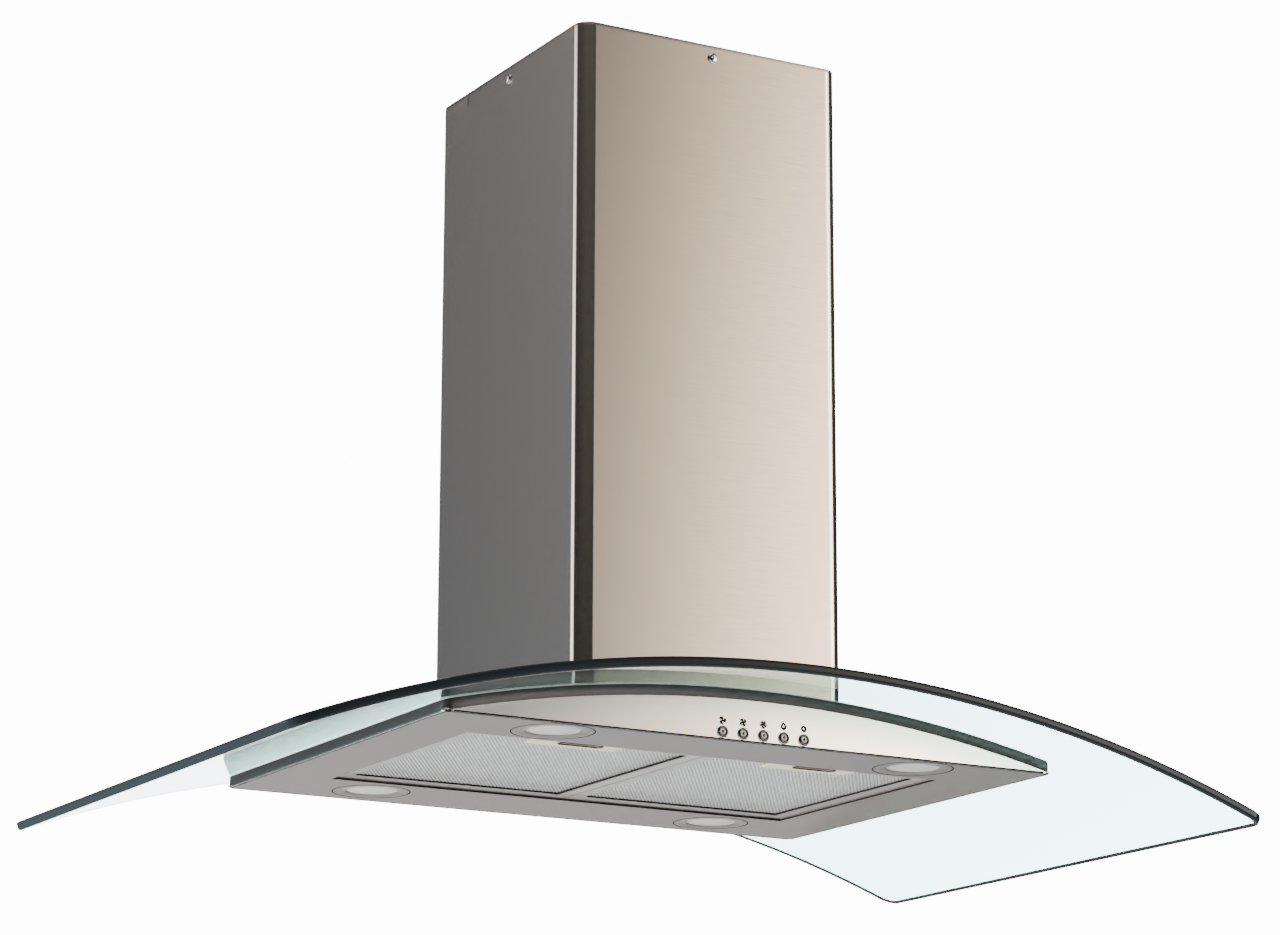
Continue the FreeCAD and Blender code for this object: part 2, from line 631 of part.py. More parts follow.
def glass_canopy():
    """Arched glass with square-cut ends, rounded corners, an air window and four bolt holes."""
    body = new_body("glass_canopy")
    section = new_sketch(body, "XZ_Plane")
    half = "Sizes.glass_span / 2"
    inner = arc(section, "Sizes.glass_radius", half)
    outer = arc(section, GLASS_TOP, f"({half} * {GLASS_TOP} / Sizes.glass_radius)")
    for end, x in ((1, value(half)), (2, -value(half))):
        stretch = value(GLASS_TOP) / value("Sizes.glass_radius")
        edge = section.addGeometry(
            Part.LineSegment(
                arc_point("Sizes.glass_radius", x), arc_point(GLASS_TOP, x * stretch)
            )
        )
        section.addConstraint(Sketcher.Constraint("Coincident", edge, 1, inner, end))
        section.addConstraint(Sketcher.Constraint("Coincident", edge, 2, outer, end))
    pad(body, section, "Sizes.glass_depth", both_ways=True)
    thickness = value("Sizes.glass_thickness")
    round_edges(body, lambda edge: abs(edge.Length - thickness) < 1e-3, "Sizes.glass_corner")
    window = new_sketch(body)
    centred_rectangle(window, "Sizes.window_width", "Sizes.window_depth")
    pocket(body, window, "Sizes.canopy_depth", both_ways=True)
    round_corners(
        body, "Sizes.window_width / 2", "Sizes.window_depth / 2", "Sizes.window_corner"
    )
    holes = new_sketch(body)
    four_circles(holes, "Sizes.rail_spacing", "Sizes.bolt_spacing", "1.5 * Sizes.bolt_diameter")
    pocket(body, holes, "Sizes.canopy_depth", both_ways=True)


def arched_ring(body, low, high, outline_inset, width):
    """A band between two arcs, run round the canopy's outline."""
    section = new_sketch(body, "XZ_Plane")
    arched_band(section, low, high, f"(Sizes.canopy_width / 2 - {outline_inset})")
    pad(body, section, f"Sizes.canopy_depth - 2 * {outline_inset}", both_ways=True)
    outline = new_sketch(body)
    centred_rectangle(outline, "2 * Sizes.canopy_width", "2 * Sizes.canopy_depth")
    rounded_rectangle(
        outline,
        f"Sizes.canopy_width - 2 * {outline_inset}",
        f"Sizes.canopy_depth - 2 * {outline_inset}",
        f"Sizes.canopy_corner - {outline_inset}",
    )
    pocket(body, outline, "Sizes.canopy_depth", both_ways=True)
    hollow = new_sketch(body)
    inset = f"(2 * {outline_inset} + 2 * {width})"
    centred_rectangle(
        hollow, f"Sizes.canopy_width - {inset}", f"Sizes.canopy_depth - {inset}"
    )
    pocket(body, hollow, "Sizes.canopy_depth", both_ways=True)


def glass_seal():
    """Clear strip between the glass and the trim."""
    body = new_body("glass_seal")
    arched_ring(
        body,
        f"({SEAL_BOTTOM} + Sizes.seal_gap)",
        "(Sizes.glass_radius - Sizes.seal_gap)",
        "Sizes.seal_inset",
        "(Sizes.trim_width - 5 * Sizes.seal_inset)",
    )


def edge_trim():
    """Dark trim under the glass, notched below for the canopy frame's ledge."""
    body = new_body("edge_trim")
    arched_ring(body, TRIM_BOTTOM, SEAL_BOTTOM, "0", "Sizes.trim_width")
    foot = new_sketch(body, offset="-Sizes.trim_height")
    centred_rectangle(foot, "2 * Sizes.canopy_width", "2 * Sizes.canopy_depth")
    pocket(body, foot, "Sizes.trim_height + Sizes.sheet_gauge", forwards=True)
    step = new_sketch(body, offset="-Sizes.trim_height")
    centred_rectangle(
        step, "Sizes.canopy_width - Sizes.hem_width", "Sizes.canopy_depth - Sizes.hem_width"
    )
    pocket(body, step, "Sizes.trim_height + 2 * Sizes.sheet_gauge", forwards=True)


def fascia(label, in_front):
    """Arched plate with its bottom edge turned in; the front one has the button holes."""
    body = new_body(label)
    side = "" if in_front else "-"
    section = new_sketch(body, "XZ_Plane", offset=f"{side}{FASCIA_BACK}")
    arched_plate(section, TRIM_BOTTOM, FASCIA_HALF, "0")
    pad(body, section, "Sizes.sheet_gauge", backwards=not in_front)
    hem = new_sketch(body, "XZ_Plane", offset=f"{side}Sizes.canopy_depth / 2")
    rectangle(hem, f"-{FASCIA_HALF}", FASCIA_HALF, "0", "Sizes.sheet_gauge")
    pad(body, hem, "Sizes.hem_width", backwards=in_front)
    if in_front:
        holes = new_sketch(body, "XZ_Plane", offset=FASCIA_BACK)
        for number in range(BUTTONS):
            circle(
                holes,
                f"Sizes.button_first + {number} * Sizes.button_pitch",
                "Sizes.button_height",
                "Sizes.button_diameter + 4 * Sizes.fit_gap",
            )
        pocket(body, holes, "4 * Sizes.sheet_gauge", both_ways=True)


def canopy_frame():
    """Stepped ring: the visible hem at the sides, and the ledge that carries the panel."""
    body = new_body("canopy_frame")
    hem = new_sketch(body)
    centred_rectangle(hem, "Sizes.canopy_width", "Sizes.canopy_depth")
    pad(body, hem, "Sizes.sheet_gauge")
    round_corners(
        body, "Sizes.canopy_width / 2", "Sizes.canopy_depth / 2", "Sizes.canopy_corner"
    )
    ledge = new_sketch(body, offset="Sizes.sheet_gauge")
    centred_rectangle(
        ledge, "Sizes.canopy_width - Sizes.hem_width", "Sizes.canopy_depth - Sizes.hem_width"
    )
    pad(body, ledge, "Sizes.sheet_gauge")
    for z, inset, length in (
        ("0", "Sizes.hem_width", "Sizes.sheet_gauge"),
        ("0", "(Sizes.hem_width + Sizes.ledge_reach)", "4 * Sizes.sheet_gauge"),
    ):
        hollow = new_sketch(body, offset=z)
        centred_rectangle(
            hollow, f"Sizes.canopy_width - 2 * {inset}", f"Sizes.canopy_depth - 2 * {inset}"
        )
        pocket(body, hollow, length, forwards=True)
    ends = new_sketch(body)
    half = f"({FASCIA_HALF} + Sizes.fit_gap / 3)"
    inner = "(Sizes.canopy_depth / 2 - Sizes.hem_width)"
    outer = "(Sizes.canopy_depth / 2 + Sizes.sheet_gauge)"
    rectangle(ends, f"-{half}", half, f"-{outer}", f"-{inner}")
    rectangle(ends, f"-{half}", half, inner, outer)
    pocket(body, ends, "4 * Sizes.sheet_gauge", forwards=True)


def opening_edge(side, grown="0"):
    """Expression of one edge of the filter opening: left, right, front or rear."""
    axis, extent, sign = {
        "left": ("x", "width", "-"),
        "right": ("x", "width", "+"),
        "front": ("y", "depth", "-"),
        "rear": ("y", "depth", "+"),
    }[side]
    middle = f"Sizes.filter_opening_{axis}"
    return f"({middle} {sign} (Sizes.filter_opening_{extent} / 2 + {grown}))"


def opening_rectangle(sketch, grown="0"):
    """The filter opening's outline, grown outwards on every side."""
    edges = [opening_edge(side, grown) for side in ("left", "right", "front", "rear")]
    rectangle(sketch, *edges)


LAMPS = [("-", "-Sizes.lamp_front"), ("", "-Sizes.lamp_front"),
         ("-", "Sizes.lamp_rear"), ("", "Sizes.lamp_rear")]


def lamp_circles(sketch, diameter):
    """A circle at each lamp."""
    for side, depth in LAMPS:
        circle(sketch, f"{side}{LAMP_X}", depth, diameter)


def filter_tongue_x(hand, number):
    """Expression of the middle of one rear tongue of a filter."""
    return f"({filter_middle(hand)} + {number} * Sizes.tongue_pitch / 2)"


def filter_middle(hand):
    """Expression of the middle of the left (-1) or right (1) filter."""
    half = "(Sizes.filter_opening_width / 4 - Sizes.filter_gap / 4)"
    return f"(Sizes.filter_opening_x + {hand} * {half})"


def underside_panel():
    """Removable panel: lamp holes, filter opening with turned-up lip, slots for the tongues."""
    body = new_body("underside_panel")
    plate = new_sketch(body)
    centred_rectangle(
        plate, f"Sizes.canopy_width - 2 * {PANEL_INSET}", f"Sizes.canopy_depth - 2 * {PANEL_INSET}"
    )
    pad(body, plate, "Sizes.sheet_gauge")
    round_corners(
        body,
        f"Sizes.canopy_width / 2 - {PANEL_INSET}",
        f"Sizes.canopy_depth / 2 - {PANEL_INSET}",
        f"Sizes.canopy_corner - {PANEL_INSET}",
    )
    lip = new_sketch(body)
    opening_rectangle(lip, "Sizes.sheet_gauge")
    pad(body, lip, "Sizes.opening_lip")
    opening = new_sketch(body)
    opening_rectangle(opening)
    pocket(body, opening, "2 * Sizes.opening_lip", both_ways=True)
    lamps = new_sketch(body)
    lamp_circles(lamps, "Sizes.lamp_trim + 2 * Sizes.lamp_gap")
    pocket(body, lamps, "4 * Sizes.sheet_gauge", both_ways=True)
    slots = new_sketch(body, "XZ_Plane", offset=f"-({opening_edge('rear')})")
    for hand in (-1, 1):
        for number in (-1, 1):
            middle = filter_tongue_x(hand, number)
            half = "(Sizes.tongue_width / 2 + 2 * Sizes.fit_gap)"
            rectangle(
                slots,
                f"{middle} - {half}",
                f"{middle} + {half}",
                "Sizes.pivot_height - Sizes.tongue_thickness / 2 - Sizes.fit_gap",
                "Sizes.pivot_height + 1.5 * Sizes.tongue_thickness",
            )
    pocket(body, slots, "4 * Sizes.sheet_gauge", both_ways=True)
    catches = new_sketch(body, "XZ_Plane", offset=f"-({opening_edge('front')})")
    for hand in (-1, 1):
        middle = f"({filter_middle(hand)} + Sizes.latch_shift)"
        half = "(Sizes.bolt_tongue / 2 + 2 * Sizes.fit_gap)"
        rectangle(
            catches,
            f"{middle} - {half}",
            f"{middle} + {half}",
            "Sizes.pivot_height - Sizes.tongue_thickness / 2 - Sizes.fit_gap",
            "Sizes.pivot_height + Sizes.tongue_thickness / 2 + Sizes.fit_gap",
        )
    pocket(body, catches, "4 * Sizes.sheet_gauge", both_ways=True)


def cross_rails():
    """Two channels from fascia to fascia that carry the glass clamp."""
    body = new_body("cross_rails")
    section = new_sketch(body, "XZ_Plane")
    middle, half = "(Sizes.rail_spacing / 2)", "(Sizes.rail_width / 2)"
    inner = f"({half} - Sizes.rail_gauge)"
    polygon(
        section,
        [
            (f"{middle} - {half}", "Sizes.rail_foot"),
            (f"{middle} - {inner}", "Sizes.rail_foot"),
            (f"{middle} - {inner}", f"{CLAMP_BOTTOM} - Sizes.rail_gauge"),
            (f"{middle} + {inner}", f"{CLAMP_BOTTOM} - Sizes.rail_gauge"),
            (f"{middle} + {inner}", "Sizes.rail_foot"),
            (f"{middle} + {half}", "Sizes.rail_foot"),
            (f"{middle} + {half}", CLAMP_BOTTOM),
            (f"{middle} - {half}", CLAMP_BOTTOM),
        ],
    )
    pad(body, section, f"2 * {FASCIA_BACK}", both_ways=True)
    ends = new_sketch(body, "YZ_Plane")
    trim_inner = "(Sizes.canopy_depth / 2 - Sizes.trim_width - Sizes.fit_gap)"
    low = f"({CLAMP_BOTTOM} - Sizes.trim_height)"
    for side in ("-", ""):
        near, far = f"{side}{trim_inner}", f"{side}Sizes.canopy_depth"
        polygon(ends, [(near, low), (far, low), (far, CLAMP_TOP), (near, CLAMP_TOP)])
    pocket(body, ends, "2 * Sizes.canopy_width", both_ways=True)
    holes = new_sketch(body)
    for end in ("-", ""):
        circle(holes, middle, f"{end}Sizes.bolt_spacing / 2", "Sizes.bolt_diameter + 2 * Sizes.fit_gap")
    pocket(body, holes, f"2 * {BASE_TOP}", both_ways=True)
    mirror(body, "YZ_Plane")


def clamp_ring(label, foot, height, width, depth, corner="Sizes.canopy_corner"):
    """A flat ring round the air window with the four clamp bolt holes, not yet shaped."""
    body = new_body(label)
    plate = new_sketch(body, offset=foot)
    centred_rectangle(plate, width, depth)
    pad(body, plate, height)
    round_corners(body, f"({width}) / 2", f"({depth}) / 2", corner)
    cuts = new_sketch(body)
    centred_rectangle(cuts, "Sizes.window_width", "Sizes.window_depth")
    four_circles(
        cuts, "Sizes.rail_spacing", "Sizes.bolt_spacing", "Sizes.bolt_diameter + 2 * Sizes.fit_gap"
    )
    pocket(body, cuts, f"4 * {BASE_TOP}", both_ways=True)
    return body


def clamp_frame():
    """Steel ring under the glass, on the cross rails."""
    clamp_ring(
        "clamp_frame", CLAMP_BOTTOM, "Sizes.clamp_gauge", "Sizes.clamp_width", "Sizes.clamp_depth"
    )


def lower_gasket():
    """Rubber ring, flat below and arched to the glass above."""
    body = clamp_ring(
        "lower_gasket",
        CLAMP_TOP,
        "1.5 * Sizes.gasket_height",
        "Sizes.clamp_width",
        "Sizes.clamp_depth",
    )
    above = new_sketch(body, "XZ_Plane")
    arched_band(
        above,
        "(Sizes.glass_radius - Sizes.seal_gap)",
        "Sizes.glass_radius + 3 * Sizes.gasket_height",
        "Sizes.clamp_width",
    )
    pocket(body, above, "2 * Sizes.clamp_depth", both_ways=True)


BASE_WIDTH = "(Sizes.chimney_width - 2 * Sizes.chimney_gauge - 2 * Sizes.fit_gap)"
BASE_DEPTH = "(Sizes.chimney_depth - 2 * Sizes.chimney_gauge - 2 * Sizes.fit_gap)"


def upper_gasket():
    """Rubber ring, arched to the glass below and flat above."""
    body = clamp_ring(
        "upper_gasket",
        CLAMP_TOP,
        f"{BASE_FOOT} - {CLAMP_TOP}",
        BASE_WIDTH,
        BASE_DEPTH,
        "Sizes.chimney_corner - Sizes.chimney_gauge",
    )
    below = new_sketch(body, "XZ_Plane")
    arched_band(
        below,
        "Sizes.glass_radius - 2 * Sizes.gasket_height",
        f"({GLASS_TOP} + Sizes.seal_gap)",
        "Sizes.chimney_width",
    )
    pocket(body, below, "2 * Sizes.chimney_depth", both_ways=True)


def blower_base():
    """Steel plate on the glass that carries the posts and the suction box."""
    clamp_ring(
        "blower_base",
        BASE_FOOT,
        "Sizes.base_gauge",
        BASE_WIDTH,
        BASE_DEPTH,
        "Sizes.chimney_corner - Sizes.chimney_gauge",
    )


def clamp_bolts():
    """Four bolts up through the rails, the glass and the base plate."""
    body = new_body("clamp_bolts")
    seat = f"({CLAMP_BOTTOM} - Sizes.rail_gauge)"
    shank = new_sketch(body, offset=seat)
    circle(shank, "Sizes.rail_spacing / 2", "Sizes.bolt_spacing / 2", "Sizes.bolt_diameter")
    pad(body, shank, f"{BASE_TOP} + 1.5 * Sizes.bolt_head_height - {seat}")
    head = new_sketch(body, offset=seat)
    circle(head, "Sizes.rail_spacing / 2", "Sizes.bolt_spacing / 2", "Sizes.bolt_head")
    pad(body, head, "Sizes.bolt_head_height", backwards=True)
    mirror(body, "YZ_Plane")
    mirror(body, "XZ_Plane")


def hexagon(sketch, x, y, across):
    """A regular hexagon about (x, y), its corners on a circle a little wider than across."""
    radius = f"(({across}) / (2 * cos(30)))"
    polygon(
        sketch,
        [
            (f"{x} + {radius} * cos({60 * corner})", f"{y} + {radius} * sin({60 * corner})")
            for corner in range(6)
        ],
    )


def clamp_nuts():
    """Hexagon nuts of the clamp bolts."""
    body = new_body("clamp_nuts")
    outline = new_sketch(body, offset=BASE_TOP)
    x, y = "Sizes.rail_spacing / 2", "Sizes.bolt_spacing / 2"
    hexagon(outline, x, y, "Sizes.bolt_head")
    circle(outline, x, y, "Sizes.bolt_diameter")
    pad(body, outline, "Sizes.bolt_head_height")
    mirror(body, "YZ_Plane")
    mirror(body, "XZ_Plane")


# ---------------------------------------------------------------------------------------------
# Chimney and posts of the hood
# ---------------------------------------------------------------------------------------------


def lower_posts():
    """Four angles on the base plate, outside the upper posts."""
    body = new_body("lower_posts")
    section = new_sketch(body, offset=BASE_TOP)
    post_outline(section, POST_X, POST_Y, "Sizes.post_leg")
    pad(body, section, f"Sizes.hood_height - Sizes.post_shortfall - {BASE_TOP}")
    round_post(body, POST_X, POST_Y, f"(Sizes.chimney_corner - {SLEEVE_INSET})")
    holes = new_sketch(body, "XZ_Plane", offset=f"-({POST_Y})")
    for number in range(2):
        circle(
            holes,
            f"{POST_X} - Sizes.post_bolt_in",
            f"Sizes.hood_height - Sizes.post_bolt_drop - {number} * Sizes.post_bolt_pitch",
            "Sizes.post_bolt",
        )
    pocket(body, holes, "4 * Sizes.post_gauge", both_ways=True)
    mirror(body, "YZ_Plane")
    mirror(body, "XZ_Plane")


def post_bolts():
    """Eight bolts, heads inside, that hold the posts at the chosen height."""
    body = new_body("post_bolts")
    inside = f"({POST_Y} - {NEST} - Sizes.post_gauge - Sizes.fit_gap / 2)"
    shank = new_sketch(body, "XZ_Plane", offset=f"-({POST_Y})")
    head = new_sketch(body, "XZ_Plane", offset=f"-{inside}")
    for number in range(2):
        x = f"{POST_X} - Sizes.post_bolt_in"
        z = f"Sizes.hood_height - Sizes.post_bolt_drop - {number} * Sizes.post_bolt_pitch"
        circle(shank, x, z, "Sizes.post_bolt")
        hexagon(head, x, z, "1.6 * Sizes.post_bolt")
    pad(body, shank, f"{POST_Y} - {inside}")
    pad(body, head, "0.6 * Sizes.post_bolt")
    mirror(body, "YZ_Plane")
    mirror(body, "XZ_Plane")


def chimney_cover():
    """Outer chimney, its foot shaped to the arched glass, with screw holes and hanging slots."""
    body = new_body("chimney_cover")
    rounded_tube(
        body,
        "Sizes.chimney_width",
        "Sizes.chimney_depth",
        "Sizes.chimney_corner",
        "Sizes.chimney_gauge",
        "0",
        "Sizes.hood_height",
    )
    glass = new_sketch(body, "XZ_Plane")
    circle(glass, "0", ARCH_Z, f"2 * ({GLASS_TOP} + Sizes.fit_gap)")
    pocket(body, glass, "2 * Sizes.chimney_depth", both_ways=True)
    for role in ("XZ_Plane", "YZ_Plane"):
        holes = new_sketch(body, role)
        circle(holes, "0", "Sizes.hood_height - Sizes.screw_drop", "Sizes.screw_shank")
        pocket(body, holes, "2 * Sizes.chimney_depth", both_ways=True)
    slots = new_sketch(body, "YZ_Plane")
    y, z = "Sizes.hook_slot_y", "(Sizes.hood_height - Sizes.hook_slot_drop)"
    rectangle(
        slots,
        f"{y} - Sizes.hook_slot_width / 2",
        f"{y} + Sizes.hook_slot_width / 2",
        f"{z} - Sizes.hook_slot_height / 2",
        f"{z} + Sizes.hook_slot_height / 2",
    )
    pocket(body, slots, "2 * Sizes.chimney_width", both_ways=True)


FACES = (("XZ_Plane", "Sizes.chimney_depth / 2"), ("YZ_Plane", "Sizes.chimney_width / 2"))


def chimney_screws():
    """Pan-head screws through the chimney and the slots of the inner sleeve."""
    body = new_body("chimney_screws")
    z = "Sizes.hood_height - Sizes.screw_drop"
    for role, face in FACES:
        for side in ("", "-"):
            inwards = side == ""
            shank = new_sketch(body, role, offset=f"{side}{face}")
            circle(shank, "0", z, "Sizes.screw_shank")
            pad(body, shank, f"{SLEEVE_INSET} + Sizes.screw_shank", backwards=inwards)
            head = new_sketch(body, role, offset=f"{side}{face}")
            circle(head, "0", z, "Sizes.screw_head")
            pad(body, head, "Sizes.screw_crown", backwards=not inwards)
    rim, face_x, face_y = (
        value(part)
        for part in ("Sizes.screw_head", "Sizes.chimney_width / 2", "Sizes.chimney_depth / 2")
    )

    def is_crown(edge):
        beyond = max(abs(edge.CenterOfMass.x) - face_x, abs(edge.CenterOfMass.y) - face_y)
        return abs(edge.Length - math.pi * rim) < 1e-3 and beyond > 1e-3

    bevel_edges(body, is_crown, "0.5 * Sizes.screw_crown")


def chimney_nuts():
    """Square nuts on the chimney screws, inside the inner sleeve."""
    body = new_body("chimney_nuts")
    z = "(Sizes.hood_height - Sizes.screw_drop)"
    half = "(0.75 * Sizes.screw_shank)"
    for role, face in FACES:
        for side in ("", "-"):
            seat = f"{side}({face} - {SLEEVE_INSET} - Sizes.fit_gap / 2)"
            outline = new_sketch(body, role, offset=seat)
            rectangle(outline, f"-{half}", half, f"{z} - {half}", f"{z} + {half}")
            circle(outline, "0", z, "Sizes.screw_shank")
            pad(body, outline, "0.6 * Sizes.screw_shank", backwards=side == "")


# ---------------------------------------------------------------------------------------------
# Blower
# ---------------------------------------------------------------------------------------------

OUTLET_REAR = "(Sizes.blower_y + Sizes.scroll_step / 2 + Sizes.scroll_radius)"
OUTLET_FRONT = f"({OUTLET_REAR} - Sizes.outlet_depth)"
RING_FACE = "(Sizes.scroll_width / 2 + Sizes.scroll_gauge)"


def on_blower_axis(label):
    """A body whose origin lies at the middle of the blower's axis."""
    return new_body(label, depth="Sizes.blower_y", height=BLOWER_Z)


def polar(body, feature, axis_role, copies):
    """Repeats a feature about one of the body's origin axes."""
    pattern = body.newObject("PartDesign::PolarPattern", body.Label + "_pattern")
    pattern.Originals = [feature]
    pattern.Axis = (origin_plane(body, axis_role), [""])
    pattern.Angle = 360
    pattern.Occurrences = copies
    body.Tip = pattern
    return pattern


def suction_box():
    """Sheet box round the scroll, open below, with a service opening in front."""
    body = new_body("suction_box")
    outside = new_sketch(body, offset=BASE_TOP)
    centred_rectangle(outside, f"2 * {BOX_X}", f"2 * {BOX_Y}")
    pad(body, outside, f"{BOX_TOP} - {BASE_TOP}")
    inside = new_sketch(body, offset=BASE_TOP)
    centred_rectangle(
        inside, f"2 * {BOX_X} - 2 * Sizes.box_gauge", f"2 * {BOX_Y} - 2 * Sizes.box_gauge"
    )
    pocket(body, inside, f"{BOX_TOP} - Sizes.box_gauge - {BASE_TOP}", forwards=True)
    outlet = new_sketch(body, offset=BOX_TOP)
    half = "(Sizes.scroll_width / 2 + Sizes.fit_gap)"
    rectangle(
        outlet,
        f"-{half}",
        half,
        f"{OUTLET_FRONT} - Sizes.fit_gap",
        f"{OUTLET_REAR} + Sizes.fit_gap",
    )
    pocket(body, outlet, "2 * Sizes.box_gauge")
    service = new_sketch(body, "XZ_Plane", offset=BOX_Y)
    rectangle(
        service,
        f"-{BOX_X} + Sizes.service_border",
        f"{BOX_X} - Sizes.service_border",
        f"{BASE_TOP} + Sizes.service_border",
        f"{BOX_TOP} - Sizes.service_border",
    )
    pocket(body, service, "2 * Sizes.box_gauge")


def suction_box_cover():
    """Plate over the service opening."""
    body = new_body("suction_box_cover")
    border = "(Sizes.service_border / 2)"
    plate = new_sketch(body, "XZ_Plane", offset=BOX_Y)
    rectangle(
        plate,
        f"-{BOX_X} + {border}",
        f"{BOX_X} - {border}",
        f"{BASE_TOP} + {border}",
        f"{BOX_TOP} - {border}",
    )
    pad(body, plate, "Sizes.box_gauge")


def scroll_face(inwards, top):
    """The scroll's outline in the YZ plane: four quarter arcs whose radius drops by the step.

    Args:
        inwards: how far the outline lies inside the scroll's outer face
        top: height of the outlet's end above the blower's axis
    """
    step = value("Sizes.scroll_step")
    first = value("Sizes.scroll_radius")
    last = first - 3 * step - inwards
    rear = step / 2 + first - inwards
    tongue = step / 2 + first - value("Sizes.outlet_depth") + inwards
    end = math.degrees(math.acos((tongue + step / 2) / last))
    quarters = [
        (step / 2, step / 2, 0, -90),
        (step / 2, -step / 2, -90, -180),
        (-step / 2, -step / 2, -180, -270),
        (-step / 2, step / 2, -270, end - 360),
    ]

    def at(y, z):
        return Vector(0, y, z)

    edges = [Part.makeLine(at(rear, top), at(rear, step / 2))]
    for number, (y, z, start, finish) in enumerate(quarters):
        radius = first - number * step - inwards
        points = [
            at(
                y + radius * math.cos(math.radians(angle)),
                z + radius * math.sin(math.radians(angle)),
            )
            for angle in (start, (start + finish) / 2, finish)
        ]
        edges.append(Part.Arc(*points).toShape())
    lip = at(tongue, step / 2 + last * math.sin(math.radians(end)))
    edges.append(Part.makeLine(lip, at(tongue, top)))
    edges.append(Part.makeLine(at(tongue, top), at(rear, top)))
    return Part.Face(Part.Wire(edges))


def scroll_housing():
    """Double-inlet scroll round the fan wheel, its outlet upwards."""
    width, gauge = value("Sizes.scroll_width"), value("Sizes.scroll_gauge")
    top = value(f"{BOX_TOP} - {BLOWER_Z}")
    outside = scroll_face(0, top).extrude(Vector(width, 0, 0))
    outside.translate(Vector(-width / 2, 0, 0))
    inside = scroll_face(gauge, top + gauge).extrude(Vector(width - 2 * gauge, 0, 0))
    inside.translate(Vector(gauge - width / 2, 0, 0))
    inlet = Part.makeCylinder(
        value("Sizes.inlet_throat / 2 + Sizes.inlet_roll + Sizes.fit_gap"),
        2 * width,
        Vector(-width, 0, 0),
        Vector(1, 0, 0),
    )
    finished_shape(
        "scroll_housing",
        outside.cut(inside).cut(inlet),
        depth=value("Sizes.blower_y"),
        height=value(BLOWER_Z),
    )


def inlet_rings():
    """Bell-mouthed rings on both inlets of the scroll."""
    body = on_blower_axis("inlet_rings")
    plate, face = "(Sizes.scroll_width / 2)", RING_FACE
    throat, rim = "(Sizes.inlet_throat / 2)", "(Sizes.inlet_rim / 2)"
    section = new_sketch(body, "XZ_Plane")
    polygon(
        section,
        [
            (plate, rim),
            (face, rim),
            (face, f"{throat} + Sizes.inlet_roll"),
            (f"{face} - Sizes.inlet_roll", throat),
            (f"{plate} - 2 * Sizes.inlet_roll", throat),
            (f"{plate} - 2 * Sizes.inlet_roll", f"{throat} + Sizes.scroll_gauge"),
            (f"{plate} - Sizes.inlet_roll", f"{throat} + Sizes.scroll_gauge"),
            (plate, f"{throat} + Sizes.inlet_roll"),
        ],
    )
    revolve(body, section, "X_Axis")
    mirror(body, "YZ_Plane")


def disc(body, x, length, outer, inner=None, both_ways=False):
    """A disc, or a ring, round the body's X axis from x on."""
    outline = new_sketch(body, "YZ_Plane", offset=x)
    circle(outline, "0", "0", outer)
    if inner:
        circle(outline, "0", "0", inner)
    return pad(body, outline, length, both_ways=both_ways)


def blade_corners():
    """Section of one forward-curved blade: a strip of straight runs along an arc."""
    half = "(Sizes.blade_depth / 2)"
    middle = f"(Sizes.wheel_diameter / 2 - {half})"
    back = f"sqrt(Sizes.blade_bend ^ 2 - {half} ^ 2)"
    reach = f"asin({half} / Sizes.blade_bend)"
    corners = []
    for radius, shares in (
        ("Sizes.blade_bend", BLADE_SHARES),
        ("(Sizes.blade_bend - Sizes.blade_gauge)", reversed(BLADE_SHARES)),
    ):
        for share in shares:
            angle = f"({share} * {reach})"
            corners.append(
                (f"{radius} * cos({angle}) - {back}", f"{middle} + {radius} * sin({angle})")
            )
    return corners


def impeller_wheel():
    """Double-width fan wheel: forward-curved blades between two end rings, web and hub."""
    body = on_blower_axis("impeller_wheel")
    blade = new_sketch(body, "YZ_Plane")
    polygon(blade, blade_corners())
    one_blade = pad(body, blade, "Sizes.wheel_width", both_ways=True)
    polar(body, one_blade, "X_Axis", BLADES)
    rim = "Sizes.wheel_diameter"
    inner = "Sizes.wheel_diameter - 2 * Sizes.blade_depth"
    disc(body, "Sizes.wheel_width / 2 - Sizes.web_gauge", "Sizes.web_gauge", rim, inner)
    disc(body, "-Sizes.wheel_width / 2", "Sizes.web_gauge", rim, inner)
    disc(body, "Sizes.wheel_web - Sizes.web_gauge / 2", "Sizes.web_gauge", rim)
    disc(body, "Sizes.wheel_web - Sizes.web_gauge / 2", "Sizes.hub_length", "Sizes.hub_diameter")
    bore = new_sketch(body, "YZ_Plane")
    circle(bore, "0", "0", "Sizes.shaft_diameter")
    pocket(body, bore, "Sizes.wheel_width", both_ways=True)


def motor_shaft():
    """Shaft from inside the motor through the hub."""
    body = on_blower_axis("motor_shaft")
    end = "Sizes.wheel_web + Sizes.hub_length"
    disc(
        body,
        "Sizes.motor_nose - Sizes.shaft_seat",
        f"{end} - (Sizes.motor_nose - Sizes.shaft_seat)",
        "Sizes.shaft_diameter",
    )


def motor():
    """Motor in the left inlet, bored for the shaft."""
    body = on_blower_axis("motor")
    disc(body, "Sizes.motor_nose - Sizes.motor_length", "Sizes.motor_length", "Sizes.motor_diameter")
    girth = math.pi * value("Sizes.motor_diameter")
    bevel_edges(body, lambda edge: abs(edge.Length - girth) < 1e-3, "Sizes.motor_edge")
    bore = new_sketch(body, "YZ_Plane", offset="Sizes.motor_nose")
    circle(bore, "0", "0", "Sizes.shaft_diameter + 2 * Sizes.bearing_gap")
    pocket(body, bore, "1.1 * Sizes.shaft_seat")


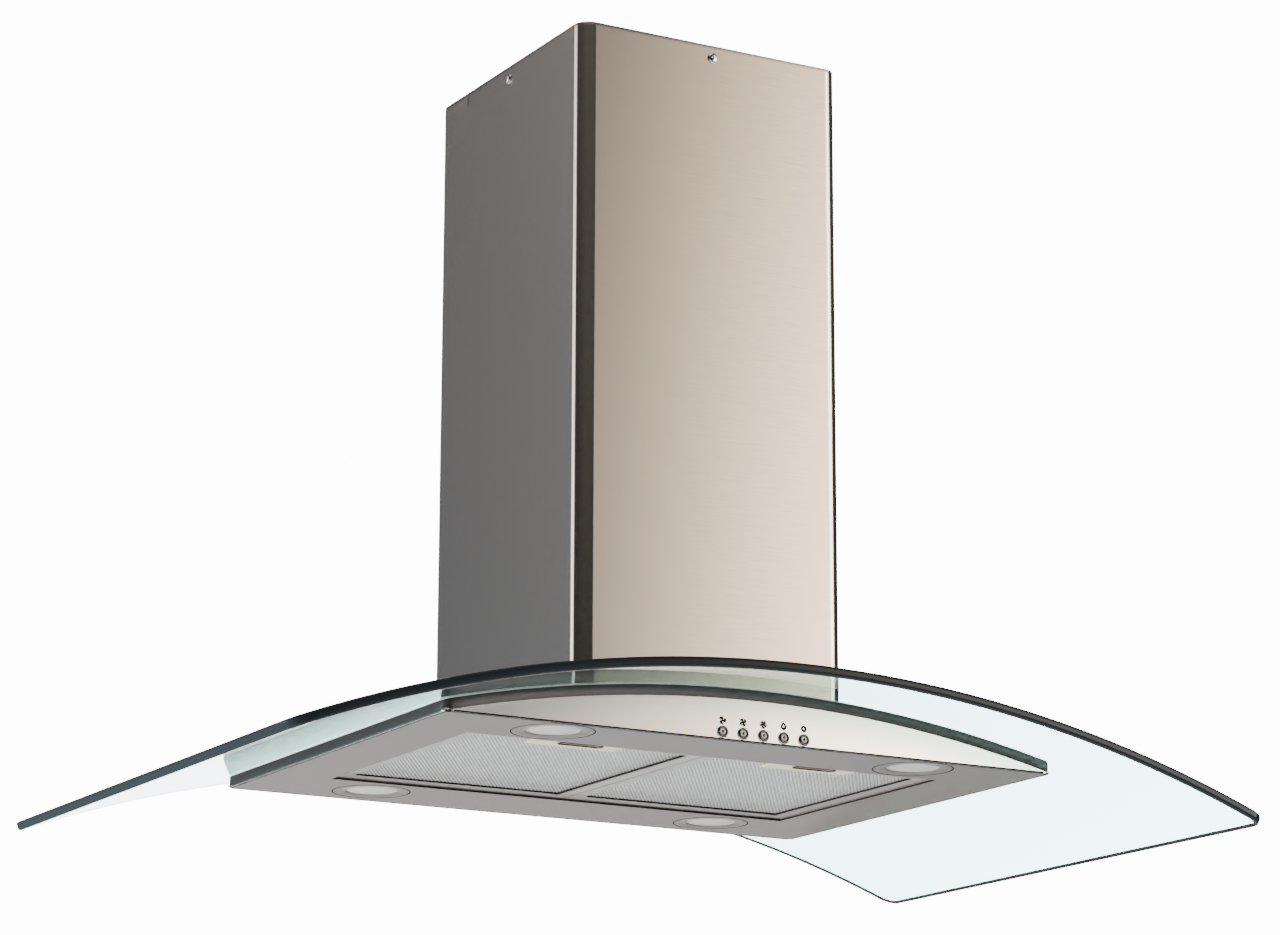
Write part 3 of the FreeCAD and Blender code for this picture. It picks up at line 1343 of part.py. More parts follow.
def motor_bracket():
    """Ring round the motor with three arms to the left inlet ring."""
    body = on_blower_axis("motor_bracket")
    start, gauge = f"-{RING_FACE} - Sizes.arm_gauge", "Sizes.arm_gauge"
    arm_outline = new_sketch(body, "YZ_Plane", offset=start)
    rectangle(
        arm_outline,
        "-Sizes.arm_width / 2",
        "Sizes.arm_width / 2",
        "Sizes.motor_diameter / 2 + Sizes.arm_gauge / 2",
        "Sizes.inlet_rim / 2",
    )
    arm = pad(body, arm_outline, gauge)
    polar(body, arm, "X_Axis", 3)
    disc(
        body,
        start,
        gauge,
        "Sizes.motor_diameter + 3 * Sizes.arm_gauge",
        "Sizes.motor_diameter",
    )


CAPACITOR_X = f"({BOX_X} - Sizes.box_gauge - Sizes.capacitor_diameter / 2)"


def capacitor():
    """Motor capacitor on the right wall of the suction box."""
    body = new_body("capacitor", side=CAPACITOR_X, height=BLOWER_Z)
    outline = new_sketch(body, "XZ_Plane")
    circle(outline, "0", "0", "Sizes.capacitor_diameter")
    pad(body, outline, "Sizes.capacitor_length", both_ways=True)


def capacitor_clip():
    """Bent strap that holds the capacitor to the wall."""
    body = new_body("capacitor_clip", side=CAPACITOR_X, height=BLOWER_Z)
    inner = "(Sizes.capacitor_diameter / 2 + Sizes.fit_gap)"
    gauge, foot = "Sizes.arm_gauge", "Sizes.strap_foot"
    wall = "Sizes.capacitor_diameter / 2"
    outline = new_sketch(body, "XZ_Plane")
    corners = [
        (wall, inner),
        (f"-{inner}", inner),
        (f"-{inner}", f"-{inner}"),
        (wall, f"-{inner}"),
        (wall, f"-{inner} - {gauge} - {foot}"),
        (f"{wall} - {gauge}", f"-{inner} - {gauge} - {foot}"),
        (f"{wall} - {gauge}", f"-{inner} - {gauge}"),
        (f"-{inner} - {gauge}", f"-{inner} - {gauge}"),
        (f"-{inner} - {gauge}", f"{inner} + {gauge}"),
        (f"{wall} - {gauge}", f"{inner} + {gauge}"),
        (f"{wall} - {gauge}", f"{inner} + {gauge} + {foot}"),
        (wall, f"{inner} + {gauge} + {foot}"),
    ]
    polygon(outline, corners)
    pad(body, outline, "Sizes.strap_width", both_ways=True)


# ---------------------------------------------------------------------------------------------
# Outlet
# ---------------------------------------------------------------------------------------------

FLAP_Z = f"({BOX_TOP} + Sizes.duct_rise + Sizes.flap_height)"


def hopper(inwards, radius, low, high):
    """Solid from the scroll's rectangular outlet up to a round end, in flat facets.

    Args:
        inwards: how far its foot lies inside the outlet's outer face
        radius: radius of the upper end
        low, high: heights of its foot and of its upper end
    """
    half = value("Sizes.scroll_width / 2") - inwards
    front, rear = value(OUTLET_FRONT) + inwards, value(OUTLET_REAR) - inwards
    foot = [
        Vector(x, y, low)
        for x, y in ((half, rear), (-half, rear), (-half, front), (half, front))
    ]
    rim = []
    for step in range(HOPPER_SIDES):
        angle = 2 * math.pi * step / HOPPER_SIDES
        rim.append(Vector(radius * math.cos(angle), radius * math.sin(angle), high))
    quarter = HOPPER_SIDES // 4
    facets = [foot[::-1], rim]
    for number, corner in enumerate(foot):
        for step in range(number * quarter, (number + 1) * quarter):
            facets.append([corner, rim[(step + 1) % HOPPER_SIDES], rim[step]][::-1])
        facets.append([foot[number - 1], corner, rim[number * quarter]])
    faces = [Part.Face(Part.makePolygon(corners + corners[:1])) for corners in facets]
    return Part.makeSolid(Part.makeShell(faces))


def outlet_foot(grown, low, height):
    """Block over the scroll's outlet, its outline grown outwards."""
    half = value("Sizes.scroll_width / 2") + grown
    front, rear = value(OUTLET_FRONT) - grown, value(OUTLET_REAR) + grown
    return Part.makeBox(2 * half, rear - front, height, Vector(-half, front, low))


def outlet_spigot():
    """Transition from the scroll's outlet to the round spigot, with the flaps' seat."""
    gauge, wall = value("Sizes.scroll_gauge"), value("Sizes.duct_wall")
    foot, collar = value(BOX_TOP), value("Sizes.duct_collar")
    seam = foot + value("Sizes.duct_rise")
    outer = value("Sizes.duct_diameter / 2")
    inner = outer - wall
    base = foot + gauge
    flange = outlet_foot(value("Sizes.spigot_flange"), foot, gauge)
    shell = hopper(0, outer, base, seam).fuse(
        Part.makeCylinder(outer, collar, Vector(0, 0, seam))
    )
    hollow = hopper(gauge, inner, base, seam).fuse(
        Part.makeCylinder(inner, collar, Vector(0, 0, seam))
    )
    solid = shell.fuse(flange).cut(hollow.fuse(outlet_foot(-gauge, foot, gauge)))
    flap_z, half_flap = value(FLAP_Z), value("Sizes.flap_gauge / 2 + Sizes.fit_gap")
    ledge = value("Sizes.flap_ledge")
    seat = Part.makeCylinder(
        outer - wall / 2, ledge, Vector(0, 0, flap_z - half_flap - ledge)
    ).cut(Part.makeCylinder(inner - ledge, 4 * ledge, Vector(0, 0, flap_z - 3 * ledge)))
    bar = Part.makeBox(
        2 * outer - wall, ledge, 2 * ledge,
        Vector(wall / 2 - outer, -ledge / 2, flap_z - ledge),
    )
    solid = solid.fuse(seat).fuse(bar)
    for y in (-value("Sizes.flap_offset"), value("Sizes.flap_offset")):
        solid = solid.cut(
            Part.makeCylinder(
                value("Sizes.flap_pin / 2 + Sizes.flap_play"),
                4 * outer,
                Vector(-2 * outer, y, flap_z),
                Vector(1, 0, 0),
            )
        )
    finished_shape("outlet_spigot", solid.removeSplitter())


def backdraught_flap(label, side):
    """Half disc with a pin at each end of its straight edge; side is -1 in front, 1 behind."""
    inner = value("Sizes.duct_diameter / 2 - Sizes.duct_wall")
    radius = inner - value("Sizes.flap_gap")
    offset, gauge = value("Sizes.flap_offset"), value("Sizes.flap_gauge")
    pin = value("Sizes.flap_pin / 2")
    disc_shape = Part.makeCylinder(radius, gauge, Vector(0, 0, -gauge / 2))
    keep = Part.makeBox(
        4 * radius, 2 * radius, 4 * gauge,
        Vector(-2 * radius, offset if side > 0 else -offset - 2 * radius, -2 * gauge),
    )
    reach = math.sqrt(radius**2 - (offset + pin) ** 2)
    knuckle = Part.makeCylinder(
        pin, 2 * reach, Vector(-reach, side * offset, 0), Vector(1, 0, 0)
    )
    ends = value("Sizes.duct_diameter / 2 - Sizes.duct_wall / 4")
    pins = Part.makeCylinder(
        pin, 2 * ends, Vector(-ends, side * offset, 0), Vector(1, 0, 0)
    )
    solid = disc_shape.common(keep).fuse(knuckle).fuse(pins)
    finished_shape(label, solid.removeSplitter(), height=value(FLAP_Z))


def wiring_box():
    """Box for the mains connections on top of the suction box."""
    body = new_body("wiring_box", depth="-Sizes.wiring_y", height=BOX_TOP)
    outside = new_sketch(body)
    centred_rectangle(outside, "Sizes.wiring_width", "Sizes.wiring_depth")
    pad(body, outside, "Sizes.wiring_height")
    inside = new_sketch(body)
    centred_rectangle(
        inside,
        "Sizes.wiring_width - 2 * Sizes.box_gauge",
        "Sizes.wiring_depth - 2 * Sizes.box_gauge",
    )
    pocket(body, inside, "Sizes.wiring_height - Sizes.box_gauge", forwards=True)
    entry = new_sketch(body)
    circle(entry, "Sizes.wiring_width / 4", "0", "1.2 * Sizes.gland_bore")
    pocket(body, entry, "2 * Sizes.wiring_height", forwards=True)


def cable_gland():
    """Gland over the cable hole of the wiring box."""
    body = new_body(
        "cable_gland",
        side="Sizes.wiring_width / 4",
        depth="-Sizes.wiring_y",
        height=f"{BOX_TOP} + Sizes.wiring_height",
    )
    nut = new_sketch(body)
    hexagon(nut, "0", "0", "2 * Sizes.gland_bore")
    circle(nut, "0", "0", "Sizes.gland_bore")
    pad(body, nut, "Sizes.gland_length / 4")
    dome = new_sketch(body)
    circle(dome, "0", "0", "1.7 * Sizes.gland_bore")
    circle(dome, "0", "0", "Sizes.gland_bore")
    pad(body, dome, "Sizes.gland_length")


# ---------------------------------------------------------------------------------------------
# Lamps and switches
# ---------------------------------------------------------------------------------------------


def lamp_driver():
    """Supply of the lamps, on the underside panel behind the filters."""
    depth = "Sizes.canopy_depth / 2 - Sizes.driver_inset"
    body = new_body("lamp_driver", depth=depth, height="Sizes.sheet_gauge")
    outline = new_sketch(body)
    centred_rectangle(outline, "Sizes.driver_width", "Sizes.driver_depth")
    pad(body, outline, "Sizes.driver_height")


def switch_block():
    """Switches behind the fascia, one bore for each button's stem."""
    body = new_body("switch_block")
    outline = new_sketch(body, "XZ_Plane", offset=FASCIA_BACK)
    last = f"Sizes.button_first + {BUTTONS - 1} * Sizes.button_pitch"
    low = "2 * Sizes.sheet_gauge + Sizes.fit_gap"
    rectangle(
        outline,
        "Sizes.button_first - Sizes.bezel_diameter",
        f"{last} + Sizes.bezel_diameter",
        low,
        "2 * Sizes.button_height",
    )
    pad(body, outline, "Sizes.switch_depth", backwards=True)
    bores = new_sketch(body, "XZ_Plane", offset=FASCIA_BACK)
    for number in range(BUTTONS):
        circle(
            bores,
            f"Sizes.button_first + {number} * Sizes.button_pitch",
            "Sizes.button_height",
            "Sizes.button_stem + Sizes.fit_gap",
        )
    pocket(body, bores, "Sizes.stem_reach + Sizes.button_travel + Sizes.fit_gap")


def button_x(number):
    """Expression of one button's place, counted from the left."""
    return f"(Sizes.button_first + {number} * Sizes.button_pitch)"


def button_bezels():
    """Five rings round the buttons."""
    body = new_body("button_bezels")
    outline = new_sketch(body, "XZ_Plane", offset="Sizes.canopy_depth / 2")
    for number in range(BUTTONS):
        circle(outline, button_x(number), "Sizes.button_height", "Sizes.bezel_diameter")
        circle(
            outline,
            button_x(number),
            "Sizes.button_height",
            "Sizes.button_diameter + 2 * Sizes.fit_gap",
        )
    pad(body, outline, "Sizes.bezel_proud")


def button(number):
    """Push button: cap and stem."""
    body = new_body(
        f"button_{number + 1}", side=button_x(number), height="Sizes.button_height"
    )
    face = "(Sizes.canopy_depth / 2 + Sizes.button_proud)"
    cap = new_sketch(body, "XZ_Plane", offset=face)
    circle(cap, "0", "0", "Sizes.button_diameter")
    pad(body, cap, "Sizes.button_cap", backwards=True)
    stem = new_sketch(body, "XZ_Plane", offset=f"{face} - Sizes.button_cap")
    circle(stem, "0", "0", "Sizes.button_stem")
    pad(
        body,
        stem,
        f"{face} - Sizes.button_cap - {FASCIA_BACK} + Sizes.stem_reach",
        backwards=True,
    )


def lamp_bezels():
    """Trim rings of the lamps, flush with the underside panel."""
    body = new_body("lamp_bezels")
    outline = new_sketch(body)
    lamp_circles(outline, "Sizes.lamp_trim")
    lamp_circles(outline, "Sizes.lamp_lens")
    pad(body, outline, "Sizes.sheet_gauge")


def lamp_lenses():
    """Frosted lenses on the trim rings."""
    body = new_body("lamp_lenses")
    outline = new_sketch(body, offset="Sizes.sheet_gauge")
    lamp_circles(outline, "Sizes.lamp_cup - 2 * Sizes.cup_gauge - 2 * Sizes.fit_gap")
    pad(body, outline, "Sizes.lens_thickness")


def lamp_housings():
    """Cup and mounting plate of each lamp, on top of the underside panel."""
    body = new_body("lamp_housings")
    plates = new_sketch(body, offset="Sizes.sheet_gauge")
    for side, depth in LAMPS:
        x, y = f"{side}{LAMP_X}", depth
        rectangle(
            plates,
            f"{x} - Sizes.lamp_plate_width / 2",
            f"{x} + Sizes.lamp_plate_width / 2",
            f"{y} - Sizes.lamp_plate_depth / 2",
            f"{y} + Sizes.lamp_plate_depth / 2",
        )
    pad(body, plates, "Sizes.cup_gauge")
    cups = new_sketch(body, offset="Sizes.sheet_gauge")
    lamp_circles(cups, "Sizes.lamp_cup")
    pad(body, cups, f"{CUP_TOP} - Sizes.sheet_gauge")
    hollows = new_sketch(body, offset="Sizes.sheet_gauge")
    lamp_circles(hollows, "Sizes.lamp_cup - 2 * Sizes.cup_gauge")
    pocket(
        body,
        hollows,
        f"{CUP_TOP} - Sizes.sheet_gauge - Sizes.cup_gauge",
        forwards=True,
    )


def lamp_modules():
    """Light source under the top of each lamp housing."""
    body = new_body("lamp_modules")
    outline = new_sketch(body, offset=f"{CUP_TOP} - Sizes.cup_gauge")
    lamp_circles(outline, "0.8 * Sizes.lamp_cup")
    pad(body, outline, "Sizes.module_height", backwards=True)


# ---------------------------------------------------------------------------------------------
# Filters
# ---------------------------------------------------------------------------------------------

FILTER_HALF = "(Sizes.filter_opening_width / 4 - 0.75 * Sizes.filter_gap)"
FILTER_FRONT = f"({opening_edge('front')} + Sizes.filter_gap)"
FILTER_REAR = f"({opening_edge('rear')} - Sizes.filter_rear_gap)"
MESH_FOOT = "(Sizes.filter_recess + Sizes.mesh_recess)"
BOLT_FOOT = "(Sizes.pivot_height - Sizes.tongue_thickness / 2)"


def filter_rectangle(sketch, hand, inset):
    """A filter's outline seen from below, drawn inwards by inset."""
    rectangle(
        sketch,
        f"{filter_middle(hand)} - {FILTER_HALF} + {inset}",
        f"{filter_middle(hand)} + {FILTER_HALF} - {inset}",
        f"{FILTER_FRONT} + {inset}",
        f"{FILTER_REAR} - {inset}",
    )


def latch_x(hand):
    """Expression of the middle of a filter's latch."""
    return f"({filter_middle(hand)} + Sizes.latch_shift)"


def filter_frame(label, hand):
    """Aluminium frame with rear tongues and a slot for the latch bolt."""
    body = new_body(label)
    outline = new_sketch(body, offset="Sizes.filter_recess")
    filter_rectangle(outline, hand, "0")
    pad(body, outline, "Sizes.filter_height")
    tongues = new_sketch(body, offset=BOLT_FOOT)
    for number in (-1, 1):
        middle = filter_tongue_x(hand, number)
        rectangle(
            tongues,
            f"{middle} - Sizes.tongue_width / 2",
            f"{middle} + Sizes.tongue_width / 2",
            f"{FILTER_REAR} - Sizes.filter_flange / 2",
            f"{opening_edge('rear')} + Sizes.tongue_reach",
        )
    pad(body, tongues, "Sizes.tongue_thickness")
    window = new_sketch(body)
    filter_rectangle(window, hand, "Sizes.filter_border")
    pocket(body, window, "4 * Sizes.filter_height", both_ways=True)
    cavity = new_sketch(body, offset=MESH_FOOT)
    filter_rectangle(cavity, hand, "Sizes.filter_flange")
    pocket(body, cavity, "Sizes.mesh_thickness", forwards=True)
    slot = new_sketch(body, "XZ_Plane", offset=f"-({FILTER_FRONT})")
    half = "(Sizes.bolt_tongue / 2 + 2 * Sizes.fit_gap)"
    rectangle(
        slot,
        f"{latch_x(hand)} - {half}",
        f"{latch_x(hand)} + {half}",
        f"{BOLT_FOOT} - Sizes.fit_gap",
        f"{BOLT_FOOT} + Sizes.tongue_thickness + Sizes.fit_gap",
    )
    pocket(body, slot, "4 * Sizes.filter_flange", both_ways=True)
    finger = new_sketch(body)
    finger_outline(finger, hand)
    pocket(body, finger, f"{MESH_FOOT} + Sizes.filter_flange / 2", forwards=True)


def finger_outline(sketch, hand):
    """The finger slot seen from below, with round ends."""
    x, y = f"({latch_x(hand)} + Sizes.finger_shift)", f"({FILTER_FRONT} + Sizes.finger_in)"
    half = "((Sizes.finger_length - Sizes.finger_width) / 2)"
    radius = value("Sizes.finger_width / 2")
    ends = []
    for sign, start in (("+", -math.pi / 2), ("-", math.pi / 2)):
        middle = Vector(value(f"{x} {sign} {half}"), value(y), 0)
        edge = sketch.addGeometry(
            Part.ArcOfCircle(
                Part.Circle(middle, Vector(0, 0, 1), radius), start, start + math.pi
            )
        )
        hold_point(sketch, edge, 3, f"{x} {sign} {half}", y)
        hold(sketch, Sketcher.Constraint("Radius", edge, radius), "Sizes.finger_width / 2")
        ends.append(edge)
    for one, other in ((ends[0], ends[1]), (ends[1], ends[0])):
        line = sketch.addGeometry(
            Part.LineSegment(sketch.getPoint(one, 2), sketch.getPoint(other, 1))
        )
        sketch.addConstraint(Sketcher.Constraint("Tangent", one, 2, line, 1))
        sketch.addConstraint(Sketcher.Constraint("Tangent", line, 2, other, 1))


def filter_mesh(label, hand):
    """Mesh pad inside a filter frame, notched for the latch bolt."""
    body = new_body(label)
    outline = new_sketch(body, offset=MESH_FOOT)
    filter_rectangle(outline, hand, "Sizes.filter_flange")
    pad(body, outline, "Sizes.mesh_thickness")
    notch = new_sketch(body)
    half = "(Sizes.bolt_tongue / 2 + 4 * Sizes.fit_gap)"
    rectangle(
        notch,
        f"{latch_x(hand)} - {half}",
        f"{latch_x(hand)} + {half}",
        f"{FILTER_FRONT}",
        f"{FILTER_FRONT} + Sizes.bolt_length + Sizes.latch_travel",
    )
    pocket(body, notch, "4 * Sizes.filter_height", forwards=True)
    finger = new_sketch(body)
    finger_outline(finger, hand)
    pocket(body, finger, f"{MESH_FOOT} + Sizes.filter_flange", forwards=True)


def latch_plate(label, hand):
    """Plate on the filter's face with the finger slot."""
    body = new_body(label)
    outline = new_sketch(body, offset="Sizes.filter_recess")
    rectangle(
        outline,
        f"{latch_x(hand)} - Sizes.latch_width / 2",
        f"{latch_x(hand)} + Sizes.latch_width / 2",
        FILTER_FRONT,
        f"{FILTER_FRONT} + Sizes.latch_depth",
    )
    finger_outline(outline, hand)
    pad(body, outline, "Sizes.latch_thickness", backwards=True)


def filter_latch(label, hand):
    """Sliding bolt with a finger tab in the slot."""
    body = new_body(label)
    bolt = new_sketch(body, offset=BOLT_FOOT)
    rectangle(
        bolt,
        f"{latch_x(hand)} - Sizes.bolt_tongue / 2",
        f"{latch_x(hand)} + Sizes.bolt_tongue / 2",
        f"{opening_edge('front')} - Sizes.bolt_reach",
        f"{FILTER_FRONT} + Sizes.bolt_length - Sizes.filter_gap",
    )
    pad(body, bolt, "Sizes.tongue_thickness")
    tab = new_sketch(body, offset=BOLT_FOOT)
    front = f"({FILTER_FRONT} + Sizes.finger_in - Sizes.finger_width / 2 + Sizes.tab_gap)"
    rectangle(
        tab,
        f"{latch_x(hand)} + Sizes.finger_shift - Sizes.tab_width / 2",
        f"{latch_x(hand)} + Sizes.finger_shift + Sizes.tab_width / 2",
        front,
        f"{front} + Sizes.finger_width - Sizes.latch_travel - 2 * Sizes.tab_gap",
    )
    pad(body, tab, f"{BOLT_FOOT} - Sizes.filter_recess + Sizes.latch_thickness", backwards=True)


# ---------------------------------------------------------------------------------------------
# The whole hood
# ---------------------------------------------------------------------------------------------

for build in (
    ceiling_bracket,
    upper_posts,
    chimney_sleeve,
    glass_canopy,
    glass_seal,
    edge_trim,
    canopy_frame,
    underside_panel,
    cross_rails,
    clamp_frame,
    lower_gasket,
    upper_gasket,
    blower_base,
    clamp_bolts,
    clamp_nuts,
    lower_posts,
    post_bolts,
    chimney_cover,
    chimney_screws,
    chimney_nuts,
    suction_box,
    suction_box_cover,
    scroll_housing,
    inlet_rings,
    impeller_wheel,
    motor_shaft,
    motor,
    motor_bracket,
    capacitor,
    capacitor_clip,
    outlet_spigot,
    wiring_box,
    cable_gland,
    lamp_driver,
    switch_block,
    button_bezels,
    lamp_bezels,
    lamp_lenses,
    lamp_housings,
    lamp_modules,
):
    build()
fascia("front_fascia", in_front=True)
fascia("rear_fascia", in_front=False)
for number in range(BUTTONS):
    button(number)
backdraught_flap("flap_front", -1)
backdraught_flap("flap_rear", 1)
for side, hand in (("left", -1), ("right", 1)):
    filter_frame(f"filter_frame_{side}", hand)
    filter_mesh(f"filter_mesh_{side}", hand)
    latch_plate(f"latch_plate_{side}", hand)
    filter_latch(f"filter_latch_{side}", hand)

# ---------------------------------------------------------------------------------------------
# Checks and files
# ---------------------------------------------------------------------------------------------

doc.recompute()
for item in doc.Objects:
    if "Invalid" in item.State or "Error" in item.State:
        raise RuntimeError(f"{item.Name} failed: {item.State}")

for item in doc.Objects:
    if item.TypeId == "PartDesign::Pocket":
        before, after = item.BaseFeature.Shape.Volume, item.Shape.Volume
        if after >= before - 1e-6:
            raise RuntimeError(f"{item.Name} cuts nothing")

pieces = [
    item
    for item in doc.Objects
    if item.TypeId == "PartDesign::Body"
    or (item.TypeId == "Part::Feature" and item.getParentGeoFeatureGroup() is None)
]
os.makedirs("parts", exist_ok=True)
for piece in pieces:
    shape = piece.Shape
    if shape.isNull() or not shape.isValid() or not shape.Solids:
        raise RuntimeError(f"{piece.Label} has no valid solid")
    shape.exportStep(os.path.join("parts", f"{piece.Label}.step"))
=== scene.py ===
"""Looks of a curved glass range hood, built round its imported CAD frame.

Every piece is in metres in the frame of the CAD part: the ceiling is z = 0, +X is to the right of a
person who faces the switches and +Y points away from them. Heights counted from the underside of
the canopy are lowered by CANOPY_DROP.
"""

from __future__ import annotations

import json
import logging
import math
from dataclasses import dataclass
from enum import Enum
from typing import Sequence

import bmesh
import bpy
import numpy as np
from mathutils import Matrix, Vector

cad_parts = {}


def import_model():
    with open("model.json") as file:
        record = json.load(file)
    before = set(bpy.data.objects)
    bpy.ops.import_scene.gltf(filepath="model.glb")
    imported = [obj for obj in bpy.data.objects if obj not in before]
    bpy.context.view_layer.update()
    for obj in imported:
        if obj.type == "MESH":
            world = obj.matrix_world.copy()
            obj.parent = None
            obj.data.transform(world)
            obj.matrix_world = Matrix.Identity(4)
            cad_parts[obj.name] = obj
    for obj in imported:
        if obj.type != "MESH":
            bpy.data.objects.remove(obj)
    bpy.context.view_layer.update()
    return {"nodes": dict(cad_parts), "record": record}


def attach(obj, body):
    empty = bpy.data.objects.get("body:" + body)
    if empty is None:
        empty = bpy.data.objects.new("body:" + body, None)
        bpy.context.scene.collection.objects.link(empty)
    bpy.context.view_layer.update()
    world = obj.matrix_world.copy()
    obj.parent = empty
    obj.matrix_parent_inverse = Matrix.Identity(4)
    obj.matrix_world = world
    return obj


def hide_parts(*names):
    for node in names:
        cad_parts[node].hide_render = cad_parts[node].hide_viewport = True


LOG = logging.getLogger("range_hood")
MM = 0.001
# The canopy's underside below the ceiling, and the front face of the fascia
CANOPY_DROP = 623 * MM
FASCIA_FACE = -209 * MM
# Points nearer than this are one point
MERGE_WITHIN = 1e-7
# A brush stroke is this many times as long as it is wide
STROKE_LENGTHS = 30
# An opening of the mesh is this many times as long along Y as along X
MESH_STRETCH = 1.5
# Level of the mesh's waves from which an opening is at its darkest painted shade
MESH_OPEN = 0.55

Grid = np.ndarray


# ---------------------------------------------------------------------------------------------
# Surfaces
# ---------------------------------------------------------------------------------------------


def rounded_outline(
    width: float, depth: float, corner: float, arc_steps: int = 8, runs: tuple[int, int] = (1, 1)
) -> Grid:
    """Closed outline of a rounded rectangle, anticlockwise from the start of its +X +Y corner.

    Each corner is centre + corner * (cos t, sin t) for its quarter of t. Each straight run is
    a + (b - a) * k / n between the ends of two corners.

    Args:
        width: size along X
        depth: size along Y
        corner: corner radius
        arc_steps: segments in each corner
        runs: segments in each run along X and in each run along Y

    Returns:
        Array (points, 2).
    """
    turn = np.linspace(0, math.pi / 2, arc_steps + 1)
    quarters = np.arange(4)[:, None] * (math.pi / 2) + turn[None, :]
    signs = np.array([(1, 1), (-1, 1), (-1, -1), (1, -1)])
    centres = signs * (np.array([width, depth]) / 2 - corner)
    arcs = centres[:, None, :] + corner * np.stack([np.cos(quarters), np.sin(quarters)], -1)
    pieces = []
    for quarter in range(4):
        pieces.append(arcs[quarter])
        start, finish = arcs[quarter, -1], arcs[(quarter + 1) % 4, 0]
        share = np.arange(1, runs[quarter % 2]) / runs[quarter % 2]
        pieces.append(start + (finish - start) * share[:, None])
    return np.concatenate(pieces)


def grid_faces(rows: int, columns: int, rows_wrap: bool) -> Grid:
    """Quads of a grid whose rows are closed outlines, numbered row by row.

    Args:
        rows: number of rows
        columns: points in a row
        rows_wrap: whether the last row joins the first

    Returns:
        Array (rows or rows - 1, columns, 4) of point numbers.
    """
    row = np.arange(rows if rows_wrap else rows - 1)[:, None]
    column = np.arange(columns)[None, :]
    next_row, next_column = (row + 1) % rows, (column + 1) % columns
    return np.stack(
        [
            row * columns + column,
            row * columns + next_column,
            next_row * columns + next_column,
            next_row * columns + column,
        ],
        -1,
    )


def mesh_object(name: str, points: Grid, faces: Sequence, smooth_angle: float = 30.0) -> bpy.types.Object:
    """A new object at the origin, its doubles merged and its faces turned outwards.

    Args:
        name: name of the object
        points: array (..., 3) in metres
        faces: point numbers of each face
        smooth_angle: edges sharper than this many degrees stay sharp

    Returns:
        The object, linked to the scene.
    """
    mesh = bpy.data.meshes.new(name)
    corners = faces.tolist() if isinstance(faces, np.ndarray) else faces
    mesh.from_pydata(np.asarray(points, float).reshape(-1, 3).tolist(), [], corners)
    work = bmesh.new()
    work.from_mesh(mesh)
    bmesh.ops.remove_doubles(work, verts=work.verts, dist=MERGE_WITHIN)
    bmesh.ops.recalc_face_normals(work, faces=work.faces)
    work.to_mesh(mesh)
    work.free()
    mesh.shade_smooth()
    mesh.set_sharp_from_angle(angle=math.radians(smooth_angle))
    thing = bpy.data.objects.new(name, mesh)
    bpy.context.scene.collection.objects.link(thing)
    return thing


def skin(name: str, rows: Grid, closed: bool, smooth_angle: float = 30.0) -> bpy.types.Object:
    """A surface through a stack of closed outlines.

    Args:
        name: name of the object
        rows: array (rows, points, 3), each row a closed outline
        closed: joins the last row to the first, as for a ring
        smooth_angle: edges sharper than this many degrees stay sharp

    Returns:
        The object.
    """
    faces = grid_faces(rows.shape[0], rows.shape[1], closed).reshape(-1, 4)
    return mesh_object(name, rows, faces, smooth_angle)


def turned(profile: Sequence[tuple[float, float]], steps: int = 48) -> Grid:
    """Rows of a surface of revolution about +Z: (r cos t, r sin t, h) for each (r, h).

    Args:
        profile: (radius, height) pairs
        steps: points round the axis

    Returns:
        Array (profile, steps, 3).
    """
    turn = np.linspace(0, 2 * math.pi, steps, endpoint=False)
    radius, height = np.array(profile, float).T
    flat = radius[:, None, None] * np.stack([np.cos(turn), np.sin(turn)], -1)
    return np.concatenate([flat, np.broadcast_to(height[:, None, None], (*flat.shape[:2], 1))], -1)


def aimed(rows: Grid, spot: Sequence[float], outward: Sequence[float]) -> Grid:
    """Points about +Z turned so that +Z points outward, with their origin moved to spot."""
    turn = Vector((0, 0, 1)).rotation_difference(Vector(outward)).to_matrix()
    return rows @ np.array(turn).T + np.array(spot)


def joined(name: str, parts: Sequence[bpy.types.Object]) -> bpy.types.Object:
    """Joins objects into the first of them and names it.

    Args:
        name: name of the joined object
        parts: objects to join

    Returns:
        The joined object.
    """
    with bpy.context.temp_override(active_object=parts[0], selected_editable_objects=list(parts)):
        bpy.ops.object.join()
    parts[0].name = name
    return parts[0]


# ---------------------------------------------------------------------------------------------
# Finishes
# ---------------------------------------------------------------------------------------------


def linear(code: str) -> tuple[float, float, float, float]:
    """Turns an sRGB hex value to linear colour.

    Args:
        code: hex value such as "8f8c88"

    Returns:
        Red, green, blue and alpha.
    """
    shares = [int(code[i : i + 2], 16) / 255 for i in (0, 2, 4)]
    levels = [s / 12.92 if s <= 0.04045 else ((s + 0.055) / 1.055) ** 2.4 for s in shares]
    return (*levels, 1.0)


def add_node(
    owner: bpy.types.Material | bpy.types.World, kind: str, links: dict | None = None, **settings: object
) -> bpy.types.Node:
    """Adds a shader node.

    Args:
        owner: material or world that gets the node
        kind: type of the node
        links: input name or number to the output that feeds it
        settings: node properties by name, or input values by name with _ for a space

    Returns:
        The node.
    """
    tree = owner.node_tree
    node = tree.nodes.new(kind)
    for key, setting in settings.items():
        if key in node.bl_rna.properties:
            setattr(node, key, setting)
        else:
            node.inputs[key.replace("_", " ")].default_value = setting
    for socket, source in (links or {}).items():
        tree.links.new(source, node.inputs[socket])
    return node


class Pattern(Enum):
    """What the surface shows close up."""

    BRUSHED_LEVEL = "strokes that run level round the piece"
    BRUSHED_X = "strokes along X"
    BRUSHED_Y = "strokes along Y"
    SPANGLED = "zinc crystals"
    GRAINED = "fine even grain"
    MESHED = "rows of small openings"


